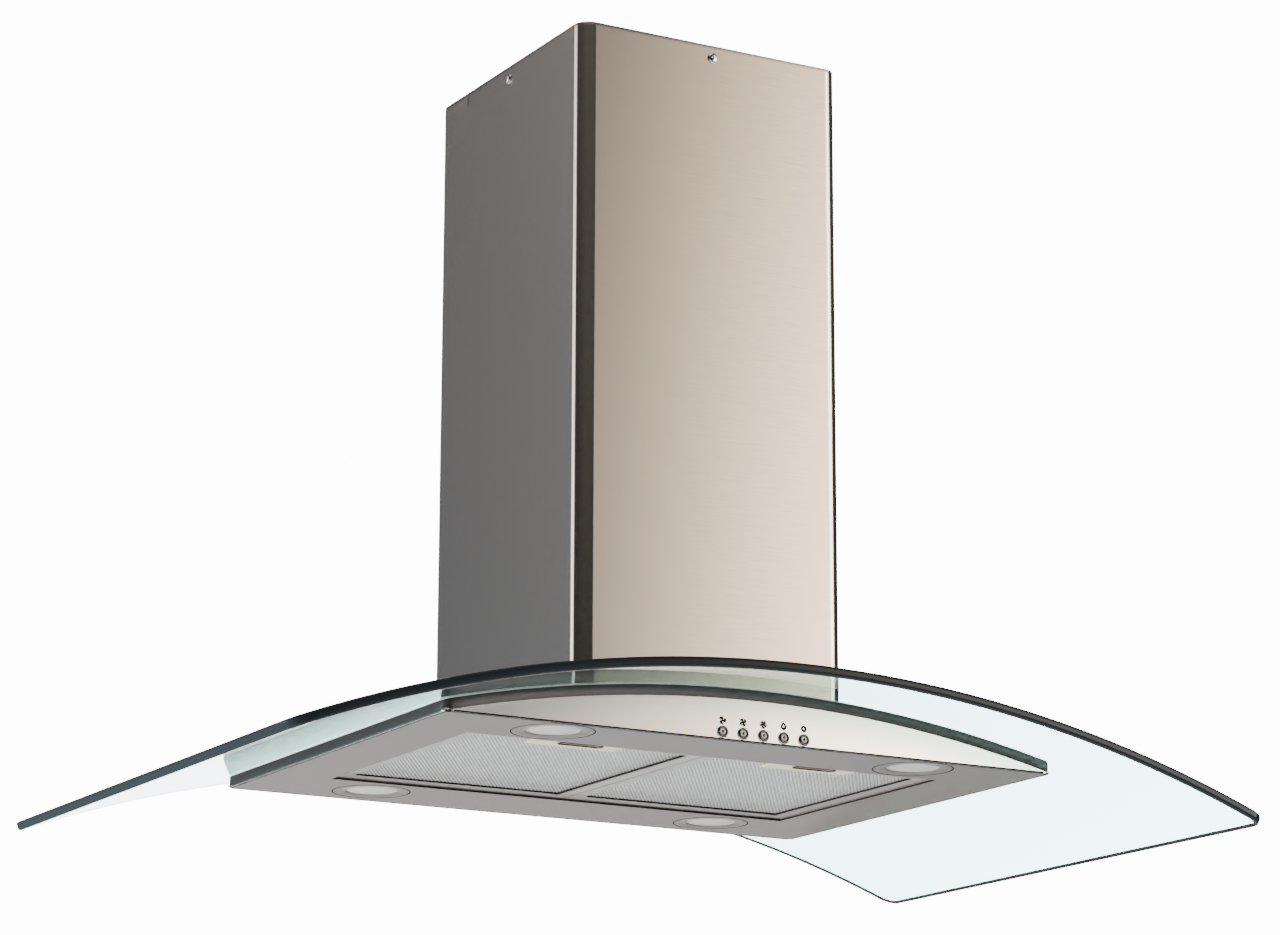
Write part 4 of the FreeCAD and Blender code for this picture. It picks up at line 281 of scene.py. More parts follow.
@dataclass(frozen=True)
class Finish:
    """One surface finish.

    Attributes:
        name: what the material really is
        colour: sRGB hex value
        pattern: what it shows close up
        size: size of the pattern in metres: stroke spacing, crystal, grain or opening
        depth: how much the pattern varies the tone
        metallic: 1 for bare metal
        roughness: of the surface
        spread: how much the pattern varies the roughness
        relief: height of the pattern in metres, as bump
        transmission: share of light that passes through
        ior: refractive index, for what is no metal
        stretch: how much brushing draws reflections out across the strokes
    """

    name: str
    colour: str
    pattern: Pattern
    size: float
    depth: float
    metallic: float = 0.0
    roughness: float = 0.5
    spread: float = 0.05
    relief: float = 0.0
    transmission: float = 0.0
    ior: float = 1.5
    stretch: float = 0.0

    def material(self) -> bpy.types.Material:
        """Makes the finish's material once.

        Returns:
            The material.
        """
        found = bpy.data.materials.get(self.name)
        if found:
            return found
        material = bpy.data.materials.new(self.name)
        material.use_nodes = True
        shader = material.node_tree.nodes["Principled BSDF"]
        shader.inputs["Base Color"].default_value = linear(self.colour)
        shader.inputs["Metallic"].default_value = self.metallic
        shader.inputs["Roughness"].default_value = self.roughness
        shader.inputs["Transmission Weight"].default_value = self.transmission
        if not self.metallic:
            shader.inputs["IOR"].default_value = self.ior
        if self.stretch:
            # A quarter turn lays the gloss across the strokes
            shader.inputs["Anisotropic"].default_value = self.stretch
            shader.inputs["Anisotropic Rotation"].default_value = 0.25
            strokes = add_node(material, "ShaderNodeTangent", direction_type="RADIAL", axis="Z")
            material.node_tree.links.new(strokes.outputs["Tangent"], shader.inputs["Tangent"])
        if self.depth or self.relief:
            self.apply_pattern(material, shader)
        return material

    def pattern_level(self, material: bpy.types.Material) -> bpy.types.NodeSocket:
        """Adds the nodes of the pattern, a level from 0 to 1 at each place of the surface.

        Args:
            material: material that gets the nodes

        Returns:
            Output that gives the level.
        """
        place = add_node(material, "ShaderNodeTexCoord").outputs["Object"]
        if self.pattern is Pattern.MESHED:
            # cos(2 pi x / p) * cos(2 pi y / q) is largest in the middle of each staggered opening
            waves = []
            for axis, pitch in (("X", self.size), ("Y", MESH_STRETCH * self.size)):
                parts = add_node(material, "ShaderNodeSeparateXYZ", {0: place})
                angle = add_node(material, "ShaderNodeMath", {0: parts.outputs[axis]}, operation="MULTIPLY")
                angle.inputs[1].default_value = 2 * math.pi / pitch
                waves.append(add_node(material, "ShaderNodeMath", {0: angle.outputs[0]}, operation="COSINE"))
            both = add_node(
                material, "ShaderNodeMath", {0: waves[0].outputs[0], 1: waves[1].outputs[0]},
                operation="MULTIPLY",
            )
            return add_node(
                material, "ShaderNodeMapRange", {"Value": both.outputs[0]},
                From_Min=0.0, From_Max=MESH_OPEN, To_Min=1.0, To_Max=0.0,
            ).outputs["Result"]
        if self.pattern is Pattern.SPANGLED:
            return add_node(
                material, "ShaderNodeTexVoronoi", {"Vector": place}, Scale=1 / self.size
            ).outputs["Color"]
        across, along = 1 / self.size, 1 / (STROKE_LENGTHS * self.size)
        scale = {
            Pattern.BRUSHED_LEVEL: (along, along, across),
            Pattern.BRUSHED_X: (along, across, across),
            Pattern.BRUSHED_Y: (across, along, across),
            Pattern.GRAINED: (across, across, across),
        }[self.pattern]
        stretched = add_node(material, "ShaderNodeMapping", {"Vector": place}, Scale=scale)
        return add_node(
            material, "ShaderNodeTexNoise", {"Vector": stretched.outputs["Vector"]},
            Scale=1.0, Detail=3.0, Roughness=0.6,
        ).outputs["Fac"]

    def apply_pattern(self, material: bpy.types.Material, shader: bpy.types.Node) -> None:
        """Lets the pattern vary the tone, the roughness and the relief.

        Args:
            material: material that gets the nodes
            shader: its surface shader
        """
        level = self.pattern_level(material)
        links = material.node_tree.links
        tone = add_node(
            material, "ShaderNodeMapRange", {"Value": level}, To_Min=1 - self.depth, To_Max=1 + self.depth / 3
        )
        scaled = add_node(material, "ShaderNodeVectorMath", {0: tone.outputs["Result"]}, operation="MULTIPLY")
        scaled.inputs[1].default_value = linear(self.colour)[:3]
        links.new(scaled.outputs["Vector"], shader.inputs["Base Color"])
        rough = add_node(
            material, "ShaderNodeMapRange", {"Value": level},
            To_Min=self.roughness + self.spread, To_Max=max(0.02, self.roughness - self.spread),
        )
        links.new(rough.outputs["Result"], shader.inputs["Roughness"])
        if self.relief:
            bump = add_node(material, "ShaderNodeBump", {"Height": level}, Strength=1.0, Distance=self.relief)
            links.new(bump.outputs["Normal"], shader.inputs["Normal"])


# Chimney sheet: brushed all round, a soft sheen drawn out upright with fine level strokes. They are
# drawn 1.1 mm apart, coarser than the real ones, so that they show
CHIMNEY_STEEL = Finish(
    "brushed stainless steel", "d3c7bb", Pattern.BRUSHED_LEVEL, 1.1 * MM, 0.16,
    metallic=1.0, roughness=0.20, spread=0.04, stretch=0.95,
)
# Fascia: the same steel with a finer satin, a light even face
FASCIA_STEEL = Finish(
    "satin stainless steel", "f2efec", Pattern.BRUSHED_X, 0.35 * MM, 0.05,
    metallic=1.0, roughness=0.20, spread=0.03, stretch=0.9,
)
# Zinc-coated sheet inside: dull grey with small crystals
ZINC_SHEET = Finish(
    "zinc-coated steel sheet", "a9abad", Pattern.SPANGLED, 6 * MM, 0.12,
    metallic=1.0, roughness=0.45, spread=0.08,
)
# Clear float glass: water-clear with a faint green-blue cast
FLOAT_GLASS = Finish(
    "clear float glass", "d0fbf7", Pattern.GRAINED, 1 * MM, 0.0,
    roughness=0.0, transmission=1.0, ior=1.52,
)
# Ground and polished glass edge: the depth of the pane makes it nearly black, a little blue-green
GLASS_EDGE = Finish(
    "polished glass edge", "20282b", Pattern.GRAINED, 0.3 * MM, 0.10, roughness=0.08, spread=0.03, ior=1.2
)
# Clear seal under the glass: milky, hardly to be seen
CLEAR_SEAL = Finish("clear silicone seal", "cfd3cf", Pattern.GRAINED, 1 * MM, 0.05, roughness=0.25, ior=1.41)
# Powder-coated trim: satin dark grey with a fine grain
TRIM_COAT = Finish("dark grey powder coat", "2a2728", Pattern.GRAINED, 0.4 * MM, 0.12, roughness=0.35)
# Sprayed enamel: warm grey, soft sheen
PANEL_ENAMEL = Finish("warm grey enamel", "625d5a", Pattern.GRAINED, 0.5 * MM, 0.05, roughness=0.36)
# Gaskets: matt, nearly black
RUBBER = Finish("black rubber", "1d1d1d", Pattern.GRAINED, 0.5 * MM, 0.2, roughness=0.8)
# Filter borders: light satin metal with a soft gleam
ALUMINIUM = Finish(
    "satin aluminium", "dedddb", Pattern.BRUSHED_Y, 0.4 * MM, 0.06, metallic=1.0, roughness=0.36
)
# Expanded mesh: staggered openings between bright strands, each opening darkened as the painted shade seen
# through it. They are drawn 3.6 mm apart, coarser than the real ones, so that they show
MESH_ALUMINIUM = Finish(
    "expanded aluminium mesh", "f8f8fa", Pattern.MESHED, 3.6 * MM, 0.97,
    metallic=1.0, roughness=0.45, spread=0.1, relief=0.5 * MM,
)
# Latch plates: plain cream, a little yellower than the metal round them
CREAM_ABS = Finish("cream moulded ABS", "cfc8b4", Pattern.GRAINED, 0.6 * MM, 0.05, roughness=0.42)
# Rings and screws: small sharp glints
CHROME = Finish(
    "polished chrome plate", "d8d8d8", Pattern.GRAINED, 0.3 * MM, 0.03,
    metallic=1.0, roughness=0.10, spread=0.03,
)
# Sand-blasted lamp glass: a milky face that hides the light source
FROSTED_LENS = Finish("sand-blasted lamp glass", "b9bbb6", Pattern.GRAINED, 3 * MM, 0.12, roughness=0.35)
# Lamp bulbs, capacitor and lamp driver: plain white
WHITE_ABS = Finish("white moulded ABS", "dedede", Pattern.GRAINED, 0.6 * MM, 0.05, roughness=0.42)
# Duct spigot, flaps, wiring box and switch block: black with a low sheen
BLACK_ABS = Finish("black moulded ABS", "222222", Pattern.GRAINED, 0.6 * MM, 0.15, roughness=0.45)
# Motor: lacquered black, a little blue
MOTOR_LACQUER = Finish("black motor lacquer", "1d1e20", Pattern.GRAINED, 0.8 * MM, 0.15, roughness=0.4)
# Push buttons: dull dark nickel, so that only the dot in the middle and the rim catch the light
DARK_NICKEL = Finish(
    "satin nickel plate", "74706d", Pattern.GRAINED, 0.3 * MM, 0.05,
    metallic=1.0, roughness=0.24, spread=0.03,
)
# Icons: flat black without any gleam
PRINT_INK = Finish("dark screen print", "070707", Pattern.GRAINED, 0.3 * MM, 0.1, roughness=0.8, ior=1.2)
# Rims of the finger slots: painted shade in dull brown, which draws the slots' outline
SHADED_RIM = Finish(
    "dark brown painted slot shade", "3a3129", Pattern.GRAINED, 0.5 * MM, 0.1, roughness=0.7, ior=1.3
)
# Painted shade: matt black beads in the joints of the underside stand for the shade in the gaps and read as
# dark lines
GAP_SHADE_BEAD = Finish(
    "black bead of painted gap shade", "1d1a18", Pattern.GRAINED, 0.5 * MM, 0.2, roughness=0.9, ior=1.15
)
# Floor: pale and matt, hardly any pattern
FLOOR_PAINT = Finish("pale matt floor paint", "e2e0dc", Pattern.GRAINED, 20 * MM, 0.02, roughness=0.8)

SLOT_FINISHES: dict[str, Finish] = {
    "stainless": FASCIA_STEEL,
    "sheet_steel": ZINC_SHEET,
    "glass": FLOAT_GLASS,
    "clear_seal": CLEAR_SEAL,
    "dark_trim": TRIM_COAT,
    "grey_panel": PANEL_ENAMEL,
    "rubber": RUBBER,
    "aluminium": ALUMINIUM,
    "mesh": MESH_ALUMINIUM,
    "cream_plate": CREAM_ABS,
    "chrome": CHROME,
    "lamp_lens": FROSTED_LENS,
    "lamp_module": WHITE_ABS,
    "motor_paint": MOTOR_LACQUER,
    "white_plastic": WHITE_ABS,
    "black_plastic": BLACK_ABS,
}
NODE_FINISHES: dict[str, Finish] = {"chimney_sleeve": CHIMNEY_STEEL}


def dress_frame(frame: dict) -> None:
    """Gives each CAD node its own finish, or else that of its material slot.

    Args:
        frame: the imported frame
    """
    slots = {part["node"]: part["material_slot"] for part in frame["record"]["subparts"]}
    for name, node in frame["nodes"].items():
        if not node.material_slots:
            node.data.materials.append(None)
        node.material_slots[0].material = NODE_FINISHES.get(name, SLOT_FINISHES[slots[name]]).material()


def hand_over(
    thing: bpy.types.Object, finish: Finish | None, body: str, slot: str, *nodes: str
) -> bpy.types.Object:
    """Dresses a new piece and says what it rides on and which nodes it stands for.

    Args:
        thing: the new piece
        finish: its finish, or None if it already has its materials
        body: body that it rides on
        slot: the record's material slot; not used
        nodes: CAD nodes that it replaces

    Returns:
        The piece.
    """
    if finish:
        thing.data.materials.clear()
        thing.data.materials.append(finish.material())
    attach(thing, body)
    if nodes:
        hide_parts(*nodes)
    LOG.info("%s rides on %s", thing.name, body)
    return thing


# ---------------------------------------------------------------------------------------------
# The arch that glass, seal, trim and fascias share
# ---------------------------------------------------------------------------------------------


@dataclass(frozen=True)
class Arch:
    """Circular arch about a line along Y.

    Attributes:
        radius: radius of the glass's underside
        centre: height of the arch's centre
        glass: thickness of the glass
        seal: thickness of the clear seal
        trim: height of the dark trim
    """

    radius: float = 1224 * MM
    centre: float = -1180.03 * MM - CANOPY_DROP
    glass: float = 8 * MM
    seal: float = 0.9 * MM
    trim: float = 8.8 * MM

    def height(self, x: Grid, above: float = 0.0) -> Grid:
        """Height at x of the arc that lies above the underside: sqrt(r^2 - x^2) + centre."""
        return np.sqrt((self.radius + above) ** 2 - np.asarray(x) ** 2) + self.centre

    def bent(self, flat: Grid, above: Grid) -> Grid:
        """A flat sheet's points bent onto the arch, where x / radius becomes the angle.

        Args:
            flat: array (..., 2) of x, measured along the underside, and y
            above: height above the underside, square to it

        Returns:
            Array (..., 3).
        """
        angle = flat[..., 0] / self.radius
        reach = self.radius + above
        return np.stack(
            np.broadcast_arrays(reach * np.sin(angle), flat[..., 1], reach * np.cos(angle) + self.centre), -1
        )


ARCH = Arch()


@dataclass
class GlassCanopy:
    """The arched glass with its polished edge and air window.

    Attributes:
        span: width across the underside
        depth: front to rear
        corner: corner radius
        window: the air window's width, depth and corner radius
        edge_round: radius of the rounded edge
        edge_margin: rim of each face through which the dark edge shows
        corner_steps: segments in each corner
        rings: rings from the window to the rim
        runs: segments in each straight side along X and along Y
        edge_steps: segments in each half of the rounded edge
        crease: edges sharper than this many degrees stay sharp
    """

    span: float = 898 * MM
    depth: float = 576 * MM
    corner: float = 15 * MM
    window: tuple[float, float, float] = (190 * MM, 200 * MM, 20 * MM)
    edge_round: float = 2.4 * MM
    edge_margin: float = 1.5 * MM
    corner_steps: int = 10
    rings: int = 24
    runs: tuple[int, int] = (64, 8)
    edge_steps: int = 4
    crease: float = 25

    def outline(self, inset: float) -> Grid:
        """Flat outline of the sheet, drawn inwards by inset."""
        width = 2 * ARCH.radius * math.asin(self.span / 2 / ARCH.radius) - 2 * inset
        return rounded_outline(
            width, self.depth - 2 * inset, self.corner - inset, self.corner_steps, self.runs
        )

    def build(self) -> bpy.types.Object:
        """Rings from the window out over the underside, round the edge and back over the top.

        Ring k of a face is window + (outline - window) * k / n, bent onto the arch. The edge is
        rounded: at the angle t it lies r * (1 - sin t) in and r * (1 - cos t) off the face.

        Returns:
            The sheet.
        """
        hole = rounded_outline(*self.window, self.corner_steps, self.runs)
        share = np.linspace(0, 1, self.rings + 1)[:, None, None]
        face = hole + (self.outline(self.edge_round + self.edge_margin) - hole) * share
        turn = np.linspace(0, math.pi / 2, self.edge_steps + 1)
        rim = np.stack([self.outline(self.edge_round * (1 - math.sin(angle))) for angle in turn])
        flat = np.concatenate([face, rim, rim[::-1], face[::-1]])
        rise = np.concatenate([np.zeros(len(face)), self.edge_round * (1 - np.cos(turn))])
        above = np.concatenate([rise, ARCH.glass - rise[::-1]])
        sheet = skin("glass_sheet", ARCH.bent(flat, above[:, None]), True, self.crease)
        sheet.data.materials.append(FLOAT_GLASS.material())
        sheet.data.materials.append(GLASS_EDGE.material())
        row = np.arange(len(sheet.data.polygons)) // flat.shape[1]
        edge = (row >= self.rings) & (row <= self.rings + 2 * len(rim))
        sheet.data.polygons.foreach_set("material_index", edge.astype(np.int32))
        return hand_over(sheet, None, "hood", "glass", "glass_canopy")


@dataclass
class EdgeTrim:
    """Dark trim that follows the glass round the canopy's outline.

    Attributes:
        width: size along X
        depth: size along Y
        corner: corner radius
        least_corner: radius that the corner keeps on the inside
        band: from the outer to the inner face
        foot: lowest point above the canopy's underside
        edge: size of the rounded edges
        corner_steps: segments in each corner
        runs: segments in each straight side along X and along Y
    """

    width: float = 572 * MM
    depth: float = 418 * MM
    corner: float = 7 * MM
    least_corner: float = 0.2 * MM
    band: float = 14 * MM
    foot: float = 1.25 * MM
    edge: float = 0.5 * MM
    corner_steps: int = 8
    runs: tuple[int, int] = (60, 20)

    def build(self) -> bpy.types.Object:
        """A band with rounded edges carried round the outline, each point lifted to its arc.

        Returns:
            The band.
        """
        low, high = -ARCH.seal - ARCH.trim, -ARCH.seal
        edge, middle = self.edge, 0.3 * self.edge
        section = [
            (0, low + edge), (0, high - edge), (middle, high - middle), (edge, high),
            (self.band, high), (self.band, low), (edge, low), (middle, low + middle),
        ]
        rows = []
        for inset, above in section:
            corner = max(self.corner - inset, self.least_corner)
            flat = rounded_outline(
                self.width - 2 * inset, self.depth - 2 * inset, corner, self.corner_steps, self.runs
            )
            height = np.maximum(ARCH.height(flat[:, 0], above), self.foot - CANOPY_DROP)
            rows.append(np.column_stack([flat, height]))
        band = skin("trim_band", np.stack(rows), True)
        return hand_over(band, TRIM_COAT, "hood", "dark_trim", "edge_trim")


@dataclass
class Chimney:
    """Outer chimney of brushed sheet and its four screws.

    Attributes:
        width: size along X
        depth: size along Y
        corner: corner radius
        corner_steps: segments in each corner
        gauge: sheet thickness
        foot_gap: from the glass to the cover's foot
        slot_y: middle of the slot in each side
        slot_width: along Y
        slot_top: height of the slot's top
        slot_foot: height of the slot's foot
        rings: heights of the level rings between the foot and the slot
        screw_drop: screws below the ceiling
        head: diameter of a screw head
        crown: height of a screw head
        shank: radius of a screw's shank
        shank_length: how far the shank reaches in
        screw_steps: points round a screw
    """

    width: float = 257 * MM
    depth: float = 268 * MM
    corner: float = 14 * MM
    corner_steps: int = 14
    gauge: float = 1 * MM
    foot_gap: float = 0.3 * MM
    slot_y: float = 78 * MM
    slot_width: float = 2 * MM
    slot_top: float = -4 * MM
    slot_foot: float = -12 * MM
    rings: tuple[float, ...] = (-450 * MM, -250 * MM, -50 * MM)
    screw_drop: float = 11.5 * MM
    head: float = 9.5 * MM
    crown: float = 2 * MM
    shank: float = 2 * MM
    shank_length: float = 6 * MM
    screw_steps: int = 64

    @property
    def left_slot(self) -> int:
        """Number of the outline's first point at the left slot, after two corners."""
        return 2 * (self.corner_steps + 1)

    def outline(self) -> Grid:
        """Rounded rectangle with extra points at both sides of the hanging slots.

        Returns:
            Array (points, 2).
        """
        ring = rounded_outline(self.width, self.depth, self.corner, self.corner_steps)
        near, far = self.slot_y - self.slot_width / 2, self.slot_y + self.slot_width / 2
        half = self.width / 2
        left = [(-half, far), (-half, near)]
        right = [(half, near), (half, far)]
        return np.concatenate([ring[: self.left_slot], left, ring[self.left_slot :], right])

    def build_cover(self) -> bpy.types.Object:
        """Level rings of the outline from the arched foot to the ceiling, with the slots left out.

        Returns:
            The cover.
        """
        ring = self.outline()
        foot = ARCH.height(ring[:, 0], ARCH.glass + self.foot_gap)
        levels = np.array([*self.rings, self.slot_foot, self.slot_top, 0.0])
        heights = np.concatenate([foot[None], np.broadcast_to(levels[:, None], (len(levels), len(ring)))])
        rows = np.concatenate([np.broadcast_to(ring, (len(heights), *ring.shape)), heights[..., None]], -1)
        faces = grid_faces(*rows.shape[:2], False)
        keep = np.ones(faces.shape[:2], bool)
        keep[len(self.rings) + 1, [self.left_slot, len(ring) - 2]] = False
        cover = mesh_object("chimney_sheet", rows, faces[keep])
        wall = cover.modifiers.new("wall", "SOLIDIFY")
        wall.thickness, wall.offset, wall.use_even_offset = self.gauge, -1, True
        flat = cover.modifiers.new("flat_faces", "WEIGHTED_NORMAL")
        flat.keep_sharp = True
        return hand_over(cover, CHIMNEY_STEEL, "hood", "stainless", "chimney_cover")

    def screw_rows(self) -> Grid:
        """A pan head with a cross recess, whose radius is r * (1 + 1.9 * |cos 2t| ^ 6).

        Returns:
            Array (rows, points, 3) about +Z.
        """
        radius = self.head / 2
        outside = [
            (0, -self.shank_length), (self.shank, -self.shank_length), (self.shank, 0), (radius, 0),
            (radius, 0.5 * MM), (0.93 * radius, 1.1 * MM), (0.75 * radius, 1.7 * MM),
            (0.55 * radius, self.crown),
        ]
        recess = [(0.17 * radius, self.crown), (0.12 * radius, 0.9 * MM)]
        rows = turned([*outside, *recess, (0, 0.7 * MM)], self.screw_steps)
        turn = np.linspace(0, 2 * math.pi, self.screw_steps, endpoint=False)
        arms = 1 + 1.9 * np.abs(np.cos(2 * turn)) ** 6
        rows[len(outside) : -1, :, :2] *= arms[None, :, None]
        return rows

    def build_screws(self) -> bpy.types.Object:
        """Four screws, one in the middle of each face.

        Returns:
            The screws, joined.
        """
        heads = []
        for x, y in ((0, -1), (0, 1), (-1, 0), (1, 0)):
            spot = (x * self.width / 2, y * self.depth / 2, -self.screw_drop)
            heads.append(skin("screw", aimed(self.screw_rows(), spot, (x, y, 0)), False))
        return hand_over(joined("chimney_screw_heads", heads), CHROME, "hood", "chrome", "chimney_screws")

    def build(self) -> None:
        """Builds the cover and the screws."""
        self.build_cover()
        self.build_screws()


@dataclass
class Lamps:
    """Four lamps: trim ring and frosted lens.

    Attributes:
        places: middle of each lamp
        ring: outer radius of the ring
        lens: radius at which the ring meets the lens
        lens_rim: radius of the lens behind the ring
        gauge: thickness of the ring
        lens_gauge: thickness of the lens
        edge: size of the ring's rounded edges
        ring_steps: points round a ring
        lens_steps: points round a lens
    """

    places: tuple[tuple[float, float], ...] = (
        (-171 * MM, -171.5 * MM), (171 * MM, -171.5 * MM), (-171 * MM, 161.4 * MM), (171 * MM, 161.4 * MM),
    )
    ring: float = 33.5 * MM
    lens: float = 22 * MM
    lens_rim: float = 23.7 * MM
    gauge: float = 1.2 * MM
    lens_gauge: float = 2 * MM
    edge: float = 0.35 * MM
    ring_steps: int = 96
    lens_steps: int = 64

    def build(self) -> None:
        """Turned rings, slightly dished to the lens, and lenses with a stepped rim."""
        edge = self.edge
        ring = [
            (self.ring, edge), (self.ring, self.gauge), (self.lens, self.gauge),
            (self.lens, 2 * edge), (self.lens + edge, edge), (self.lens + 3 * edge, 0.4 * edge),
            (self.ring - 3 * edge, 0), (self.ring - edge, 0.25 * edge),
        ]
        foot, top = self.gauge, self.gauge + self.lens_gauge
        lens = [
            (0, foot - 0.3 * MM), (0.5 * self.lens, foot - 0.27 * MM), (0.82 * self.lens, foot - 0.12 * MM),
            (0.86 * self.lens, foot + 0.25 * MM), (0.93 * self.lens, foot + 0.3 * MM),
            (0.97 * self.lens, foot), (self.lens_rim, foot), (self.lens_rim, top), (0, top),
        ]
        rings, lenses = [], []
        for x, y in self.places:
            spot = np.array([x, y, -CANOPY_DROP])
            rings.append(skin("ring", turned(ring, self.ring_steps) + spot, True))
            lenses.append(skin("lens", turned(lens, self.lens_steps) + spot, False))
        hand_over(joined("lamp_rings", rings), PANEL_ENAMEL, "hood", "grey_panel", "lamp_bezels")
        hand_over(joined("lamp_glasses", lenses), FROSTED_LENS, "hood", "lamp_lens", "lamp_lenses")


def printed(
    name: str, outline: Grid, centre: Sequence[float], film: float, inner: Grid | None = None
) -> bpy.types.Object:
    """A flat print on the fascia, a film's thickness proud of it.

    Args:
        name: name of the print
        outline: array (points, 2) of across and up
        centre: place on the fascia
        film: how far the print stands proud
        inner: inner outline of a ring, with as many points; otherwise the shape is filled

    Returns:
        The print.
    """
    inner = np.zeros_like(outline) + outline.mean(0) if inner is None else inner
    rows = np.stack([inner, inner, outline, outline])
    depth = np.array([0.0, -film, -film, 0.0])[:, None]
    points = np.stack(
        np.broadcast_arrays(rows[..., 0] + centre[0], depth + centre[1], rows[..., 1] + centre[2]), -1
    )
    return skin(name, points, True)


@dataclass(frozen=True)
class LevelRing:
    """A level ring between two rounded rectangles.

    Attributes:
        size: outer width and depth
        bands: its own width along the sides and along the front and rear
        corners: outer and inner corner radius
        levels: heights of its underside and its top above the canopy's underside
    """

    size: tuple[float, float]
    bands: tuple[float, float]
    corners: tuple[float, float]
    levels: tuple[float, float]

    def build(self, name: str, x: float = 0.0, y: float = 0.0) -> bpy.types.Object:
        """Outer and inner outline at both levels.

        Args:
            name: name of the ring
            x: its middle along X
            y: its middle along Y

        Returns:
            The ring.
        """
        hole = [size - 2 * band for size, band in zip(self.size, self.bands)]
        outer, inner = rounded_outline(*self.size, self.corners[0]), rounded_outline(*hole, self.corners[1])
        low, high = (level - CANOPY_DROP for level in self.levels)
        flat = np.stack([outer, inner, inner, outer]) + np.array([x, y])
        level = np.array([low, low, high, high])[:, None, None]
        return skin(name, np.concatenate([flat, np.broadcast_to(level, (*flat.shape[:2], 1))], -1), True)


@dataclass
class Underside:
    """Beads of painted shade in the joints of the underside, and dark rims and folds of painted shade on the
    filters.

    Attributes:
        proud: how far a bead stands below the underside
        sunk: how far it reaches up into its joint
        panel: bead round the panel, wider along the front and the rear
        opening: bead round the filters' opening
        opening_middle: middle of that opening
        slot: raised rim of painted shade round a finger slot
        slots: side and middle of each slot
        mesh: ring of painted shade where a filter's border folds round its mesh
        meshes: side and middle of each mesh
        lamp_ring: inner radius of a lamp's bead
        lamp_bead: width of that bead
        foot: width, height and corner radius of the bead at the fascia's foot
        foot_rise: middle of that bead above the underside
        foot_proud: how far it stands out from the fascia
        corner: place of the drop of painted shade at its right end
        drop: radius and height of a drop
        drop_steps: points round a drop
    """

    proud: float = 0.06 * MM
    sunk: float = 0.2 * MM
    panel: LevelRing = LevelRing(
        (568 * MM, 415 * MM), (0.9 * MM, 1.7 * MM), (6 * MM, 5 * MM), (-proud, sunk)
    )
    opening: LevelRing = LevelRing(
        (448 * MM, 253.5 * MM), (0.12 * MM, 0.12 * MM), (1.5 * MM, 1.2 * MM), (0.02 * MM, 1.5 * MM)
    )
    opening_middle: tuple[float, float] = (-4.5 * MM, -7.25 * MM)
    slot: LevelRing = LevelRing(
        (41 * MM, 10 * MM), (1.5 * MM, 1.5 * MM), (4.5 * MM, 3.2 * MM), (0.2 * MM, 1.05 * MM)
    )
    slots: tuple[tuple[str, float, float], ...] = (
        ("left", -121.2 * MM, -126 * MM), ("right", 102.2 * MM, -126 * MM),
    )
    mesh: LevelRing = LevelRing(
        (198.2 * MM, 226.7 * MM), (0.4 * MM, 0.4 * MM), (1.2 * MM, 0.6 * MM), (2.6 * MM, 3.9 * MM)
    )
    meshes: tuple[tuple[str, float, float], ...] = (
        ("left", -116.2 * MM, -7.45 * MM), ("right", 107.2 * MM, -7.45 * MM),
    )
    lamp_ring: float = 33.3 * MM
    lamp_bead: float = 1.0 * MM
    foot: tuple[float, float, float] = (556 * MM, 1.3 * MM, 0.4 * MM)
    foot_rise: float = 0.62 * MM
    foot_proud: float = 0.3 * MM
    corner: tuple[float, float] = (281.6 * MM, -206.8 * MM)
    drop: tuple[float, float] = (2.4 * MM, 1.0 * MM)
    drop_steps: int = 32

    def build_foot_shade_bead(self) -> bpy.types.Object:
        """A black bead of painted shade along the foot of the front fascia, with a drop of it at each corner.

        Returns:
            The bead and its drops, joined.
        """
        place = (0, FASCIA_FACE, self.foot_rise - CANOPY_DROP)
        bead = printed("fascia_shade_bead", rounded_outline(*self.foot), place, self.foot_proud)
        radius, height = self.drop
        profile = [(0, -self.proud), (radius, -self.proud), (radius, height), (0, height)]
        drop = turned(profile, self.drop_steps)
        x, y = self.corner
        drops = [skin("drop", drop + np.array([side * x, y, -CANOPY_DROP]), False) for side in (-1, 1)]
        return hand_over(joined("fascia_shade_bead", [bead, *drops]), GAP_SHADE_BEAD, "hood", "rubber")

    def build_lamp_shade_beads(self, lamps: Lamps) -> bpy.types.Object:
        """A round black bead of painted shade outside each lamp's trim ring.

        Args:
            lamps: the lamps

        Returns:
            The beads, joined.
        """
        near, far = self.lamp_ring, self.lamp_ring + self.lamp_bead
        profile = [(near, self.sunk), (near, -self.proud), (far, -self.proud), (far, self.sunk)]
        rows = turned(profile, lamps.ring_steps)
        beads = [skin("bead", rows + np.array([x, y, -CANOPY_DROP]), True) for x, y in lamps.places]
        return hand_over(joined("lamp_shade_beads", beads), GAP_SHADE_BEAD, "hood", "rubber")

    def build(self) -> None:
        """Builds the beads, the rims and the folds, all of painted shade."""
        # Painted shade: dark beads in the joints stand for the shade in the gaps
        hand_over(self.panel.build("panel_shade_bead"), GAP_SHADE_BEAD, "hood", "rubber")
        self.build_foot_shade_bead()
        opening = self.opening.build("opening_shade_bead", *self.opening_middle)
        hand_over(opening, GAP_SHADE_BEAD, "hood", "rubber")
        self.build_lamp_shade_beads(Lamps())
        # Painted shade: the finger slots' dark rims
        for side, x, y in self.slots:
            rim = self.slot.build(f"slot_rim_shade_{side}", x, y)
            hand_over(rim, SHADED_RIM, f"filter_{side}", "cream_plate")
        # Painted shade: a dark ring where each filter's border folds round its mesh
        for side, x, y in self.meshes:
            fold = self.mesh.build(f"mesh_fold_shade_{side}", x, y)
            hand_over(fold, GAP_SHADE_BEAD, f"filter_{side}", "rubber")


